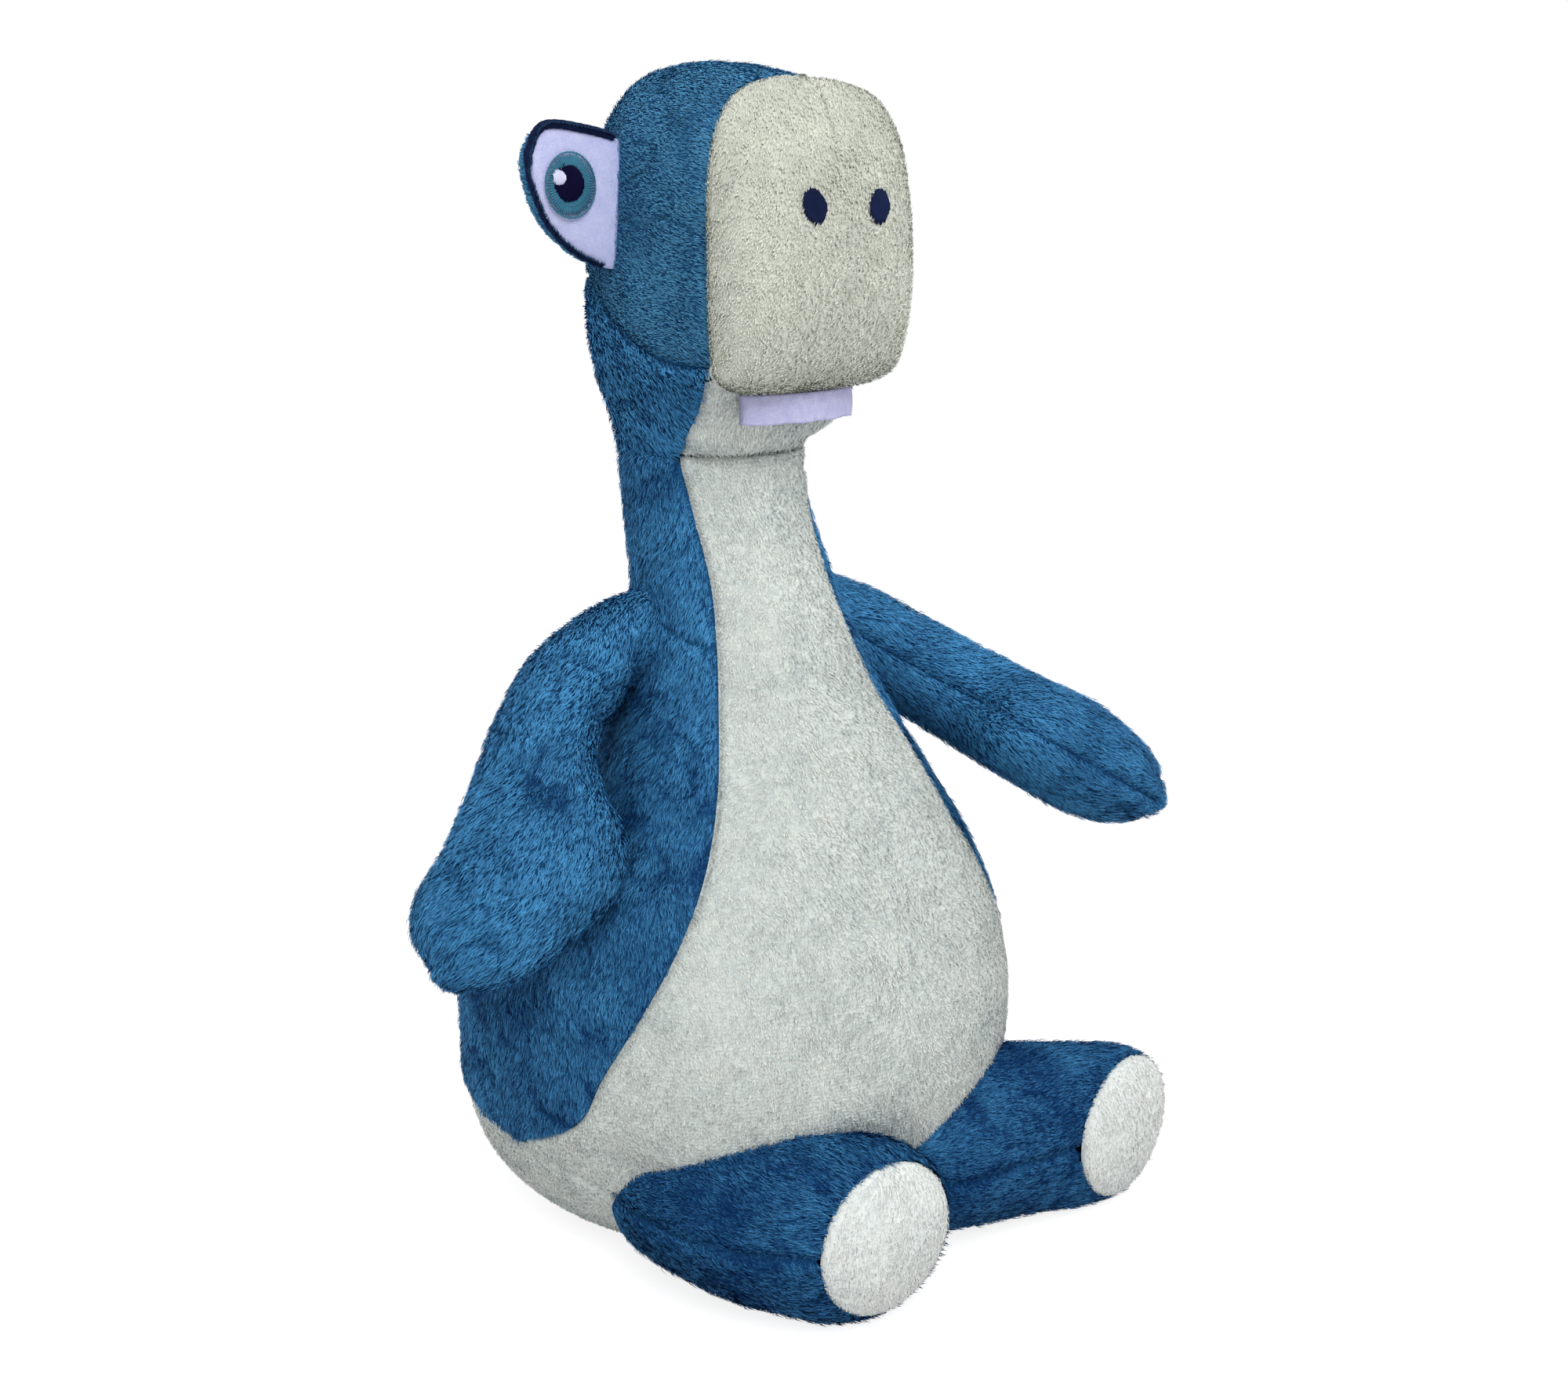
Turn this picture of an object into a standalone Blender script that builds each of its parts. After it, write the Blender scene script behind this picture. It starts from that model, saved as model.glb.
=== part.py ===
"""A seated stuffed dinosaur, sewn from short pile panels over stuffing.

Metres, +Z up. The toy sits on z = 0 and faces -Y, so its right side is at -X.
The origin is the middle of the flat seat. Angles round the torso, neck and
head start at the front and run towards the left side.
"""
import math

import bmesh
import bpy
from mathutils import Matrix, Vector

# ---------------------------------------------------------------- fabric
SKIN = 0.0022            # panel fabric with its backing
SEAM_GAP = 0.0005        # between the edges of two panels that are sewn together
FILL_GAP = 0.0010        # between a limb's panels and the stuffing inside
BODY_FILL_GAP = 0.0018   # the same in the torso, neck and head, whose faces are wider
JOINT_GAP = 0.0007       # between a limb's root and the body that carries it
TRIM_GAP = 0.0004        # between a sewn patch and the panel under it

# ---------------------------------------------------------------- torso and neck
# height, half width, centre Y, turn of the panels, half angle to the belly and back seams
TRUNK = [
    (0.000, 0.0500, 0.0080, -9.0, 81.0, 85.0),
    (0.008, 0.0620, 0.0080, -9.0, 81.0, 85.0),
    (0.020, 0.0725, 0.0065, -9.0, 81.0, 85.0),
    (0.037, 0.0800, 0.0030, -9.0, 81.0, 85.0),
    (0.051, 0.0825, 0.0010, -9.0, 66.0, 94.0),
    (0.068, 0.0822, 0.0000, -9.0, 60.0, 98.0),
    (0.086, 0.0780, -0.0020, -9.0, 54.0, 100.0),
    (0.104, 0.0695, -0.0050, -9.0, 49.5, 100.0),
    (0.122, 0.0585, -0.0075, -9.0, 47.0, 100.0),
    (0.140, 0.0475, -0.0085, -9.0, 47.0, 100.0),
    (0.158, 0.0380, -0.0060, -9.0, 47.0, 100.0),
    (0.176, 0.0315, -0.0030, -9.0, 46.5, 100.0),
    (0.193, 0.0278, 0.0010, -9.0, 46.0, 100.0),
    (0.210, 0.0262, 0.0060, -6.0, 52.0, 103.0),
    (0.226, 0.0258, 0.0076, 0.0, 66.0, 109.0),
]
FLOOR_ROW = 0            # rows of TRUNK where panels begin and end
RING_COUNT = 20          # faces all the way round a form
TORSO_FACES = 11         # faces up the torso
HEM_ROW = 1              # front edge of the base panel
UNDERSIDE_ROW = 3        # lower end of the blue panels
NECK_ROW = 12            # fold between torso and neck
CROWN_ROW = 14           # top of the neck
NECK_PIVOT = (0.0, 0.001, 0.174)
NECK_BALL = 0.0334       # radius of the fold's round seat, about the pivot
NECK_HEM = (0.04, 0.10)  # rows below and above the fold that its two edges keep
NECK_UNDERCUT = 0.28     # rows by which the neck's inner edge lies above its outer edge
BASE_RINGS = (-0.92, -0.5, 0.0, 0.3, 0.65, 1.0)  # below 0 under the seat, then up to the hem
HEM_GAP = 0.06           # rows between the base panel and the hem above it
HEM_RISE_START = 0.15    # share of the way round the belly where its hem climbs

# ---------------------------------------------------------------- head
# height, half width, centre Y, reach forward of it, reach behind it
HEAD = [
    (0.2263, 0.0258, 0.0076, 0.0258, 0.0258),
    (0.2330, 0.0272, 0.0020, 0.0255, 0.0335),
    (0.2400, 0.0292, -0.0070, 0.0190, 0.0455),
    (0.2465, 0.0315, -0.0180, 0.0070, 0.0595),
    (0.2560, 0.0337, -0.0250, 0.0040, 0.0685),
    (0.2680, 0.0344, -0.0265, 0.0040, 0.0713),
    (0.2840, 0.0346, -0.0265, 0.0040, 0.0708),
    (0.3000, 0.0341, -0.0265, 0.0040, 0.0670),
    (0.3130, 0.0308, -0.0265, 0.0040, 0.0600),
    (0.3210, 0.0243, -0.0265, 0.0040, 0.0515),
    (0.3245, 0.0140, -0.0265, 0.0040, 0.0390),
    (0.3255, 0.0043, -0.0265, 0.0020, 0.0200),
]
JAW_TOP_ROW = 3
JAW_DROP = 0.3           # rows between the jaw's upper edge and the muzzle
MUZZLE_FIRST_ROW = 4     # from here up, line n of HEAD meets line n - 1 of MUZZLE
CHEEK_ROWS = (3.6, 5.4)  # cheek seam: row at the front, row at the back
CROWN_HUMP = 0.0055      # how far the crown stands above the muzzle
CROWN_Y = 0.010
CROWN_REACH = 0.032
CROWN_START = 0.290
CROWN_FULL = 0.3175
JAW_SEAM = 66.0          # half angle of the jaw panel
JAW_SQUARENESS = 2.0     # of the outline from above at the jaw, where 2 is round
JAW_SQUARING = 0.2       # gained by each row up the jaw
HEAD_SQUARENESS = 2.6
MUZZLE_SQUARENESS = 3.2

# height, half width, reach forward of the muzzle seam
MUZZLE = [
    (0.2452, 0.0180, 0.0030),
    (0.2458, 0.0255, 0.0075),
    (0.2490, 0.0318, 0.0125),
    (0.2560, 0.0337, 0.0160),
    (0.2680, 0.0344, 0.0182),
    (0.2840, 0.0346, 0.0186),
    (0.3000, 0.0341, 0.0172),
    (0.3130, 0.0308, 0.0140),
    (0.3210, 0.0243, 0.0100),
    (0.3245, 0.0140, 0.0060),
    (0.3255, 0.0043, 0.0020),
]
MUZZLE_SEAM_Y = -0.0265

NOSTRIL_X = 0.0123
NOSTRIL_Z = 0.293
NOSTRIL_SIZE = (0.0039, 0.0046)
NOSTRIL_THICK = 0.0008

TEETH_HALF = 0.0205
TEETH_TOP = 0.2444
TEETH_HEIGHT = 0.0080
TEETH_THICK = 0.0026
TEETH_FRONT = -0.0325    # front of the strip at its middle
TEETH_SWEEP = 0.0050     # how far its ends fall back

# ---------------------------------------------------------------- eyes
# distance out, Y of its seam, bulge forward, bulge back, lowest, highest
EYE = [
    (0.0235, 0.0118, 0.0024, 0.0190, 0.2765, 0.3085),
    (0.0300, 0.0122, 0.0024, 0.0185, 0.2765, 0.3105),
    (0.0360, 0.0128, 0.0024, 0.0165, 0.2775, 0.3120),
    (0.0420, 0.0136, 0.0024, 0.0140, 0.2800, 0.3130),
    (0.0480, 0.0144, 0.0024, 0.0110, 0.2840, 0.3137),
    (0.0525, 0.0150, 0.0022, 0.0080, 0.2890, 0.3133),
    (0.0552, 0.0154, 0.0019, 0.0055, 0.2945, 0.3110),
    (0.0562, 0.0156, 0.0018, 0.0042, 0.2980, 0.3085),
]
EYE_SKIN = 0.0012
IRIS_AT = (0.0464, 0.2984)
IRIS_SIZE = (0.0076, 0.0085)
PUPIL_AT = (0.0471, 0.2988)
PUPIL_SIZE = (0.0038, 0.0047)
GLINT_AT = (0.0503, 0.3002)
GLINT_SIZE = (0.0018, 0.0022)
STITCH_THICK = 0.0005
# angle round the pouch and row of EYE, along each lid
UPPER_LID = [(0.0, 1.5), (0.0, 2.5), (0.0, 4.1), (-4.0, 5.4), (-16.0, 6.4)]
LOWER_LID = [(-142.0, 6.1), (-156.0, 5.3), (-170.0, 4.2), (-176.0, 3.2), (-178.0, 2.2)]
LID_RADIUS = 0.0013
LOWER_LID_RADIUS = 0.0009
LID_STAND = 0.0008       # the face's bulge just inside its edge

# ---------------------------------------------------------------- arms
# distance from the shoulder, back edge, thumb edge, half thickness
ARM = [
    (0.000, -0.0050, 0.0040, 0.0055),
    (0.010, -0.0115, 0.0070, 0.0112),
    (0.024, -0.0200, 0.0055, 0.0134),
    (0.042, -0.0250, 0.0010, 0.0140),
    (0.057, -0.0250, 0.0025, 0.0144),
    (0.067, -0.0240, 0.0100, 0.0146),
    (0.076, -0.0225, 0.0215, 0.0148),
    (0.088, -0.0205, 0.0258, 0.0154),
    (0.102, -0.0192, 0.0222, 0.0156),
    (0.115, -0.0195, 0.0175, 0.0132),
    (0.124, -0.0155, 0.0115, 0.0090),
    (0.129, -0.0080, 0.0045, 0.0042),
]
RIGHT_ARM = {
    "shoulder": (-0.0142, 0.0100, 0.1846),
    "along": (-0.743, -0.179, -0.645),
    "thumb": (0.583, -0.646, -0.492),
    "outer": 1,
    "pivot": (-0.0300, 0.0000, 0.1885),
}
LEFT_ARM = {
    "shoulder": (0.0278, 0.0066, 0.1794),
    "along": (0.548, -0.683, -0.476),
    "thumb": (-0.688, -0.695, 0.208),
    "outer": -1,
    "pivot": (0.0300, 0.0030, 0.1885),
}

# ---------------------------------------------------------------- legs
# X, Y and Z of the spine, way it faces from -Y towards +X, half width, half height
RIGHT_LEG = [
    (-0.0420, -0.0240, 0.0268, 0.0, 0.0285, 0.0255),
    (-0.0420, -0.0400, 0.0270, 0.0, 0.0295, 0.0262),
    (-0.0412, -0.0570, 0.0270, 0.0, 0.0290, 0.0262),
    (-0.0380, -0.0720, 0.0266, -4.0, 0.0266, 0.0258),
    (-0.0330, -0.0840, 0.0263, -8.0, 0.0252, 0.0254),
    (-0.0308, -0.0895, 0.0262, -8.5, 0.0222, 0.0222),
]
LEFT_LEG = [
    (0.0140, -0.0420, 0.0262, 16.0, 0.0300, 0.0245),
    (0.0180, -0.0580, 0.0264, 22.0, 0.0320, 0.0252),
    (0.0310, -0.0690, 0.0262, 34.0, 0.0312, 0.0252),
    (0.0490, -0.0805, 0.0258, 28.0, 0.0248, 0.0248),
    (0.0630, -0.0900, 0.0253, 13.0, 0.0240, 0.0243),
    (0.0690, -0.0955, 0.0250, 3.0, 0.0218, 0.0218),
]
SOLE_RADIUS = 0.0216
SOLE_DOME = 0.0065
SOLE_STEPS = (20, 40, 60, 78)  # degrees round the dome's profile
LEG_PIVOTS = {"right": (-0.0400, -0.0830, 0.0540), "left": (0.0340, -0.0780, 0.0540)}

# ---------------------------------------------------------------- tail
# X, Y and Z of the spine, radius
TAIL = [
    (0.000, 0.0600, 0.0290, 0.0265),
    (0.001, 0.0800, 0.0260, 0.0245),
    (0.004, 0.0980, 0.0215, 0.0205),
    (0.010, 0.1140, 0.0170, 0.0160),
    (0.018, 0.1280, 0.0125, 0.0115),
    (0.026, 0.1390, 0.0090, 0.0078),
    (0.031, 0.1450, 0.0070, 0.0042),
]
TAIL_PIVOT = (0.0, 0.0800, 0.0540)

# ---------------------------------------------------------------- colours
BLUE = ("blue_pile", (0.036, 0.145, 0.310), 0.95)
CREAM = ("cream_pile", (0.640, 0.680, 0.600), 0.95)
FILLING = ("stuffing", (0.820, 0.820, 0.800), 1.00)
FELT = ("felt", (0.520, 0.520, 0.760), 0.95)
EYE_WHITE = ("eye_cloth", (0.600, 0.600, 0.830), 0.90)
NAVY = ("navy_thread", (0.012, 0.022, 0.080), 0.70)
TEAL = ("teal_thread", (0.055, 0.180, 0.270), 0.65)
INK = ("ink_thread", (0.006, 0.005, 0.040), 0.60)
WHITE = ("white_thread", (0.780, 0.780, 0.920), 0.60)

RIGHT = -1               # sign of X on the toy's right side
LEFT = 1


# ================================================================ scene helpers
def clear_scene():
    for item in list(bpy.data.objects):
        bpy.data.objects.remove(item, do_unlink=True)


def new_collection(name):
    collection = bpy.data.collections.new(name)
    bpy.context.scene.collection.children.link(collection)
    return collection


def material(finish):
    name, colour, roughness = finish
    found = bpy.data.materials.get(name)
    if found:
        return found
    made = bpy.data.materials.new(name)
    made.use_nodes = True
    shader = made.node_tree.nodes["Principled BSDF"]
    shader.inputs["Base Color"].default_value = (*colour, 1.0)
    shader.inputs["Roughness"].default_value = roughness
    shader.inputs["Metallic"].default_value = 0.0
    return made


def add_object(name, mesh, finish, collection):
    piece = bpy.data.objects.new(name, mesh)
    collection.objects.link(piece)
    if finish:
        mesh.materials.append(material(finish))
    mesh.shade_smooth()
    mesh.set_sharp_from_angle(angle=math.radians(50))
    return piece


def add_body(name, pivot, parent, collection):
    """An empty on a joint's axis, which carries the pieces that move there."""
    body = bpy.data.objects.new(name, None)
    body.empty_display_size = 0.01
    collection.objects.link(body)
    body.location = pivot
    if parent:
        attach(body, parent)
    return body


def attach(piece, parent):
    bpy.context.view_layer.update()
    piece.parent = parent
    piece.matrix_parent_inverse = parent.matrix_world.inverted()


# ================================================================ curves and grids
def smooth(table, row):
    """A table's values at a row that may lie between two of its lines."""
    last = len(table) - 1
    row = min(max(row, 0.0), float(last))
    low = min(int(row), last - 1)
    part = row - low
    before = table[max(low - 1, 0)]
    start = table[low]
    end = table[low + 1]
    after = table[min(low + 2, last)]
    values = []
    for a, b, c, d in zip(before, start, end, after):
        bend = part * (2 * a - 5 * b + 4 * c - d + part * (3 * b - a - 3 * c + d))
        values.append(b + 0.5 * part * (c - a + bend))
    return values


def spread(low, high, count):
    return [low + (high - low) * step / count for step in range(count + 1)]


def ease(share):
    share = min(max(share, 0.0), 1.0)
    return share * share * (3 - 2 * share)


def rounded(angle, squareness):
    """Cosine and sine of an angle on a rounded box outline."""
    power = 2 / squareness
    cosine = math.cos(math.radians(angle))
    sine = math.sin(math.radians(angle))
    return (
        math.copysign(abs(cosine) ** power, cosine),
        math.copysign(abs(sine) ** power, sine),
    )


def inset(surface, row, angle, depth):
    """A point of a surface moved inwards along its normal."""
    point = surface(row, angle)
    if depth == 0:
        return point
    step = 0.05
    along = surface(row + step, angle) - surface(row - step, angle)
    across = surface(row, angle + 20 * step) - surface(row, angle - 20 * step)
    normal = across.cross(along).normalized()
    return point - normal * depth


def narrowed(grid, gap):
    """Draw the edges of a grid of points in by a small gap."""
    for row in grid:
        row[0] = row[0] + (row[1] - row[0]).normalized() * gap
        row[-1] = row[-1] + (row[-2] - row[-1]).normalized() * gap
    first = [a + (b - a).normalized() * gap for a, b in zip(grid[0], grid[1])]
    last = [a + (b - a).normalized() * gap for a, b in zip(grid[-1], grid[-2])]
    return [first] + grid[1:-1] + [last]


def mirror_across(mesh):
    """Turn a mesh of the right side into one of the left side."""
    mesh.transform(Matrix.Scale(-1, 4, (1, 0, 0)))
    mesh.flip_normals()


def stitch(mesh_data, lower, upper, closed):
    """Faces between two rows of vertices."""
    count = len(lower)
    for index in range(count if closed else count - 1):
        following = (index + 1) % count
        mesh_data.faces.new((lower[index], lower[following], upper[following], upper[index]))


def finish_mesh(name, mesh_data):
    bmesh.ops.recalc_face_normals(mesh_data, faces=mesh_data.faces)
    mesh = bpy.data.meshes.new(name)
    mesh_data.to_mesh(mesh)
    mesh_data.free()
    return mesh


def panel_mesh(name, surface, rows, angles, counts, thickness=SKIN, undercut=0.0):
    """A sewn panel, lofted over unlike sections and thickened inwards.

    rows(share across) and angles(row) give the panel's edges on the surface,
    and counts how many faces it has along its rows and across them. Its inner
    face begins a few rows above its outer face where it is undercut.
    """
    row_count, column_count = counts
    mesh_data = bmesh.new()
    layers = []
    for depth in (0.0, thickness):
        grid = []
        for up in spread(0.0, 1.0, row_count):
            line = []
            for across in spread(0.0, 1.0, column_count):
                low, high = rows(across)
                low += undercut if depth else 0.0
                row = low + (high - low) * up
                start, end = angles(row)
                line.append(inset(surface, row, start + (end - start) * across, depth))
            grid.append(line)
        grid = narrowed(grid, SEAM_GAP / 2)
        layers.append([[mesh_data.verts.new(point) for point in line] for line in grid])
    outer, inner = layers
    for layer in layers:
        for lower, upper in zip(layer, layer[1:]):
            stitch(mesh_data, lower, upper, False)
    for edge in (0, -1):
        stitch(mesh_data, outer[edge], inner[edge], False)
        outer_side = [line[edge] for line in outer]
        inner_side = [line[edge] for line in inner]
        stitch(mesh_data, outer_side, inner_side, False)
    return finish_mesh(name, mesh_data)


def solid_mesh(name, rings):
    """A closed form, lofted through rings of points and closed at both ends."""
    mesh_data = bmesh.new()
    lines = [[mesh_data.verts.new(point) for point in ring] for ring in rings]
    for lower, upper in zip(lines, lines[1:]):
        stitch(mesh_data, lower, upper, True)
    for line in (lines[0], lines[-1]):
        middle = sum((vertex.co for vertex in line), Vector()) / len(line)
        pole = mesh_data.verts.new(middle)
        for index, vertex in enumerate(line):
            mesh_data.faces.new((vertex, line[(index + 1) % len(line)], pole))
    return finish_mesh(name, mesh_data)


def ring(surface, row, count, depth):
    return [inset(surface, row, 360 * step / count, depth) for step in range(count)]


def filled_form(name, surface, rows, count, depth):
    return solid_mesh(name, [ring(surface, row, count, depth) for row in rows])


def cut(piece, cutter, operation="DIFFERENCE"):
    modifier = piece.modifiers.new("cut_" + cutter.name, "BOOLEAN")
    modifier.object = cutter
    modifier.operation = operation
    modifier.solver = "EXACT"


def guide(name, mesh, collection):
    made = add_object(name, mesh, None, collection)
    made.hide_render = True
    made.display_type = "WIRE"
    return made


# ================================================================ surfaces
def trunk_point(row, angle):
    """Torso and neck; rows below 0 run in under the seat to its middle."""
    height, half, centre_y = smooth(TRUNK, row)[:3]
    if row < FLOOR_ROW:
        half = half * (1 + row)
    turn = math.radians(angle)
    return Vector((half * math.sin(turn), centre_y - half * math.cos(turn), height))


def belly_edges(row):
    """Angles of the belly's right and left seams."""
    turn, half = smooth(TRUNK, row)[3:5]
    return turn - half, turn + half


def back_edges(row):
    """Angles of the back panel's left and right seams."""
    turn, _, half = smooth(TRUNK, row)[3:]
    return turn + half, turn + 360 - half


def crown_rise(y, height):
    hump = max(0.0, 1 - ((y - CROWN_Y) / CROWN_REACH) ** 2)
    return CROWN_HUMP * hump * ease((height - CROWN_START) / (CROWN_FULL - CROWN_START))


def head_point(row, angle):
    height, half, centre_y, front, back = smooth(HEAD, row)
    squareness = HEAD_SQUARENESS
    if row <= JAW_TOP_ROW:
        squareness = JAW_SQUARENESS + JAW_SQUARING * max(row, 0)
    cosine, sine = rounded(angle, squareness)
    reach = front if cosine > 0 else back
    y = centre_y - reach * cosine
    return Vector((half * sine, y, height + crown_rise(y, height)))


def muzzle_point(row, angle):
    height, half, front = smooth(MUZZLE, row)
    cosine, sine = rounded(angle, MUZZLE_SQUARENESS)
    y = MUZZLE_SEAM_Y - front * cosine
    return Vector((half * sine, y, height + crown_rise(y, height)))


def eye_point(row, angle):
    """The pouch of the right eye; angle 0 is its top and 90 its back."""
    out, seam_y, front, back, low, high = smooth(EYE, row)
    turn = math.radians(angle)
    bulge = front if math.sin(turn) < 0 else back
    middle = (low + high) / 2
    y = seam_y + bulge * math.sin(turn)
    return Vector((RIGHT * out, y, middle + (high - low) / 2 * math.cos(turn)))


def arm_point(row, angle):
    """A mitten; angle 0 is its thumb edge and 90 its local +Y face."""
    along, back, thumb, thick = smooth(ARM, row)
    turn = math.radians(angle)
    middle = (thumb + back) / 2
    half = (thumb - back) / 2
    return Vector((middle + half * math.cos(turn), thick * math.sin(turn), along))


def leg_surface(leg):
    """Points of a leg; angle 0 is its left side and 90 its top."""
    def point(row, angle):
        x, y, height, facing, width, rise = smooth(leg, row)
        way = math.radians(facing)
        aside = Vector((math.cos(way), math.sin(way), 0))
        turn = math.radians(angle)
        upright = Vector((0, 0, rise * math.sin(turn)))
        return Vector((x, y, height)) + aside * width * math.cos(turn) + upright
    return point


def tail_point(row, angle):
    """Angle 0 is the top of the tail and 90 its left side."""
    x, y, height, radius = smooth(TAIL, row)
    step = 0.1
    ahead = Vector(smooth(TAIL, row + step)[:3]) - Vector(smooth(TAIL, row - step)[:3])
    ahead.z = 0
    ahead.normalize()
    aside = Vector((ahead.y, -ahead.x, 0))
    turn = math.radians(angle)
    upright = Vector((0, 0, radius * math.cos(turn)))
    return Vector((x, y, height)) + aside * radius * math.sin(turn) + upright


# ================================================================ torso
def hem_row(share):
    """Row of the belly's lower hem at a share of -1 to 1 round the belly."""
    climb = ease((abs(share) - HEM_RISE_START) / (1 - HEM_RISE_START))
    return HEM_ROW + (UNDERSIDE_ROW - HEM_ROW) * climb


def base_hem(angle):
    turn, half = smooth(TRUNK, FLOOR_ROW)[3:5]
    turned = abs((angle - turn + 180) % 360 - 180)
    return hem_row(min(turned / half, 1.0))


def base_panel_mesh():
    """The underside: flat where the toy sits, drawn up to the hem all round."""
    mesh_data = bmesh.new()
    layers = []
    for depth in (0.0, SKIN):
        lines = []
        for share in BASE_RINGS:
            line = []
            for step in range(RING_COUNT):
                angle = 360 * step / RING_COUNT
                row = share if share <= 0 else share * (base_hem(angle) - HEM_GAP)
                line.append(mesh_data.verts.new(inset(trunk_point, row, angle, depth)))
            lines.append(line)
        for lower, upper in zip(lines, lines[1:]):
            stitch(mesh_data, lower, upper, True)
        mesh_data.faces.new(lines[0])
        layers.append(lines)
    stitch(mesh_data, layers[0][-1], layers[1][-1], True)
    for vertex in mesh_data.verts:
        vertex.co.z = max(vertex.co.z, 0.0)
    return finish_mesh("base_panel", mesh_data)


def torso_stuffing_mesh():
    """Stuffing of the torso, with a round top that the neck folds over."""
    rows = [-0.5] + [float(row) for row in range(NECK_ROW)] + [NECK_ROW - NECK_HEM[0]]
    rings = [ring(trunk_point, row, RING_COUNT, SKIN + BODY_FILL_GAP) for row in rows]
    rings += [ball_ring(share, NECK_BALL - TRIM_GAP, RING_COUNT) for share in (0.68, 0.45, 0.2)]
    return solid_mesh("torso_stuffing", rings)


def ball_ring(share, radius, count):
    """A level ring on the fold's ball; share is its width over the ball's."""
    centre = Vector(NECK_PIVOT)
    height = radius * math.sqrt(1 - share * share)
    points = []
    for step in range(count):
        turn = 2 * math.pi * step / count
        flat = Vector((math.sin(turn), -math.cos(turn), 0)) * radius * share
        points.append(centre + flat + Vector((0, 0, height)))
    return points


def build_torso(parts):
    top = NECK_ROW - NECK_HEM[0]
    whole = (UNDERSIDE_ROW, top)
    spans = (
        ("belly_panel", CREAM, lambda across: (hem_row(2 * across - 1), top), belly_edges, 9),
        ("side_panel_left", BLUE, lambda across: whole, left_side_edges, 3),
        ("back_panel", BLUE, lambda across: whole, back_edges, 10),
        ("side_panel_right", BLUE, lambda across: whole, right_side_edges, 3),
    )
    for name, finish, rows, angles, columns in spans:
        mesh = panel_mesh(name, trunk_point, rows, angles, (TORSO_FACES, columns))
        add_object(name, mesh, finish, parts)
    add_object("base_panel", base_panel_mesh(), CREAM, parts)
    add_object("torso_stuffing", torso_stuffing_mesh(), FILLING, parts)


def left_side_edges(row):
    return belly_edges(row)[1], back_edges(row)[0]


def right_side_edges(row):
    return back_edges(row)[1], 360 + belly_edges(row)[0]


# ================================================================ neck
def build_neck(parts, body):
    low = NECK_ROW + NECK_HEM[1]
    high = CROWN_ROW - 0.01
    spans = (
        ("throat_panel", CREAM, belly_edges, 7),
        ("neck_panel_left", BLUE, lambda row: (belly_edges(row)[1], 180.0), 7),
        ("neck_panel_right", BLUE, lambda row: (180.0, 360 + belly_edges(row)[0]), 7),
    )
    for name, finish, angles, columns in spans:
        counts = (3, columns)
        mesh = panel_mesh(
            name, trunk_point, lambda across: (low, high), angles, counts, SKIN, NECK_UNDERCUT
        )
        attach(add_object(name, mesh, finish, parts), body)
    attach(add_object("neck_stuffing", neck_stuffing_mesh(), FILLING, parts), body)


def neck_stuffing_mesh():
    """Stuffing of the neck, hollowed underneath to fit over the torso's round top."""
    rings = [ball_ring(share, NECK_BALL + JOINT_GAP, RING_COUNT) for share in (0.2, 0.42, 0.62)]
    rows = spread(NECK_ROW + 0.6, CROWN_ROW - 0.03, 3)
    rings += [ring(trunk_point, row, RING_COUNT, SKIN + BODY_FILL_GAP) for row in rows]
    return solid_mesh("neck_stuffing", rings)


# ================================================================ head
def build_head(parts, body):
    pieces = []
    front_row, back_row = CHEEK_ROWS
    top = len(HEAD) - 1
    for name, side in (("right", RIGHT), ("left", LEFT)):
        def back_half(row, side=side):
            return sorted((side * 90.0, side * 180.0))

        def nape_half(row, side=side):
            start = JAW_SEAM + (90.0 - JAW_SEAM) * ease((row - JAW_TOP_ROW) / 0.6)
            return sorted((side * start, side * 180.0))

        def cheek(across, side=side):
            share = across if side > 0 else 1 - across
            return front_row + (back_row - front_row) * ease(share * 1.6)

        mesh = panel_mesh(
            "head_panel_" + name, head_point, lambda across: (cheek(across), top), back_half, (7, 6)
        )
        pieces.append(add_object("head_panel_" + name, mesh, BLUE, parts))
        mesh = panel_mesh(
            "nape_panel_" + name, head_point, lambda across: (0.02, cheek(across)), nape_half, (4, 6)
        )
        pieces.append(add_object("nape_panel_" + name, mesh, BLUE, parts))
        mesh = panel_mesh(
            "muzzle_panel_" + name,
            muzzle_point,
            lambda across: (0, len(MUZZLE) - 1),
            lambda row, side=side: sorted((0.0, side * 90.0)),
            (len(MUZZLE) - 1, 5),
        )
        pieces.append(add_object("muzzle_panel_" + name, mesh, CREAM, parts))
    mesh = panel_mesh(
        "jaw_panel",
        head_point,
        lambda across: (0.02, JAW_TOP_ROW - JAW_DROP),
        lambda row: (-JAW_SEAM, JAW_SEAM),
        (3, 8),
    )
    pieces.append(add_object("jaw_panel", mesh, CREAM, parts))
    pieces.append(head_stuffing(parts))
    pieces.append(teeth_strip(parts))
    for name, side in (("right", RIGHT), ("left", LEFT)):
        pieces.append(nostril("nostril_" + name, side, parts))
    for piece in pieces:
        attach(piece, body)


def head_core_point(row, angle):
    """The whole head: the muzzle in front of its seam, the rest behind it."""
    if row >= MUZZLE_FIRST_ROW and math.cos(math.radians(angle)) > 0:
        return muzzle_point(row - 1, angle)
    return head_point(row, angle)


def head_stuffing(parts):
    rows = [0.12, 1.0, 2.0, 3.0] + spread(MUZZLE_FIRST_ROW + 0.3, len(HEAD) - 2, 6)
    mesh = filled_form("head_stuffing", head_core_point, rows, RING_COUNT, SKIN + BODY_FILL_GAP)
    return add_object("head_stuffing", mesh, FILLING, parts)


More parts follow.
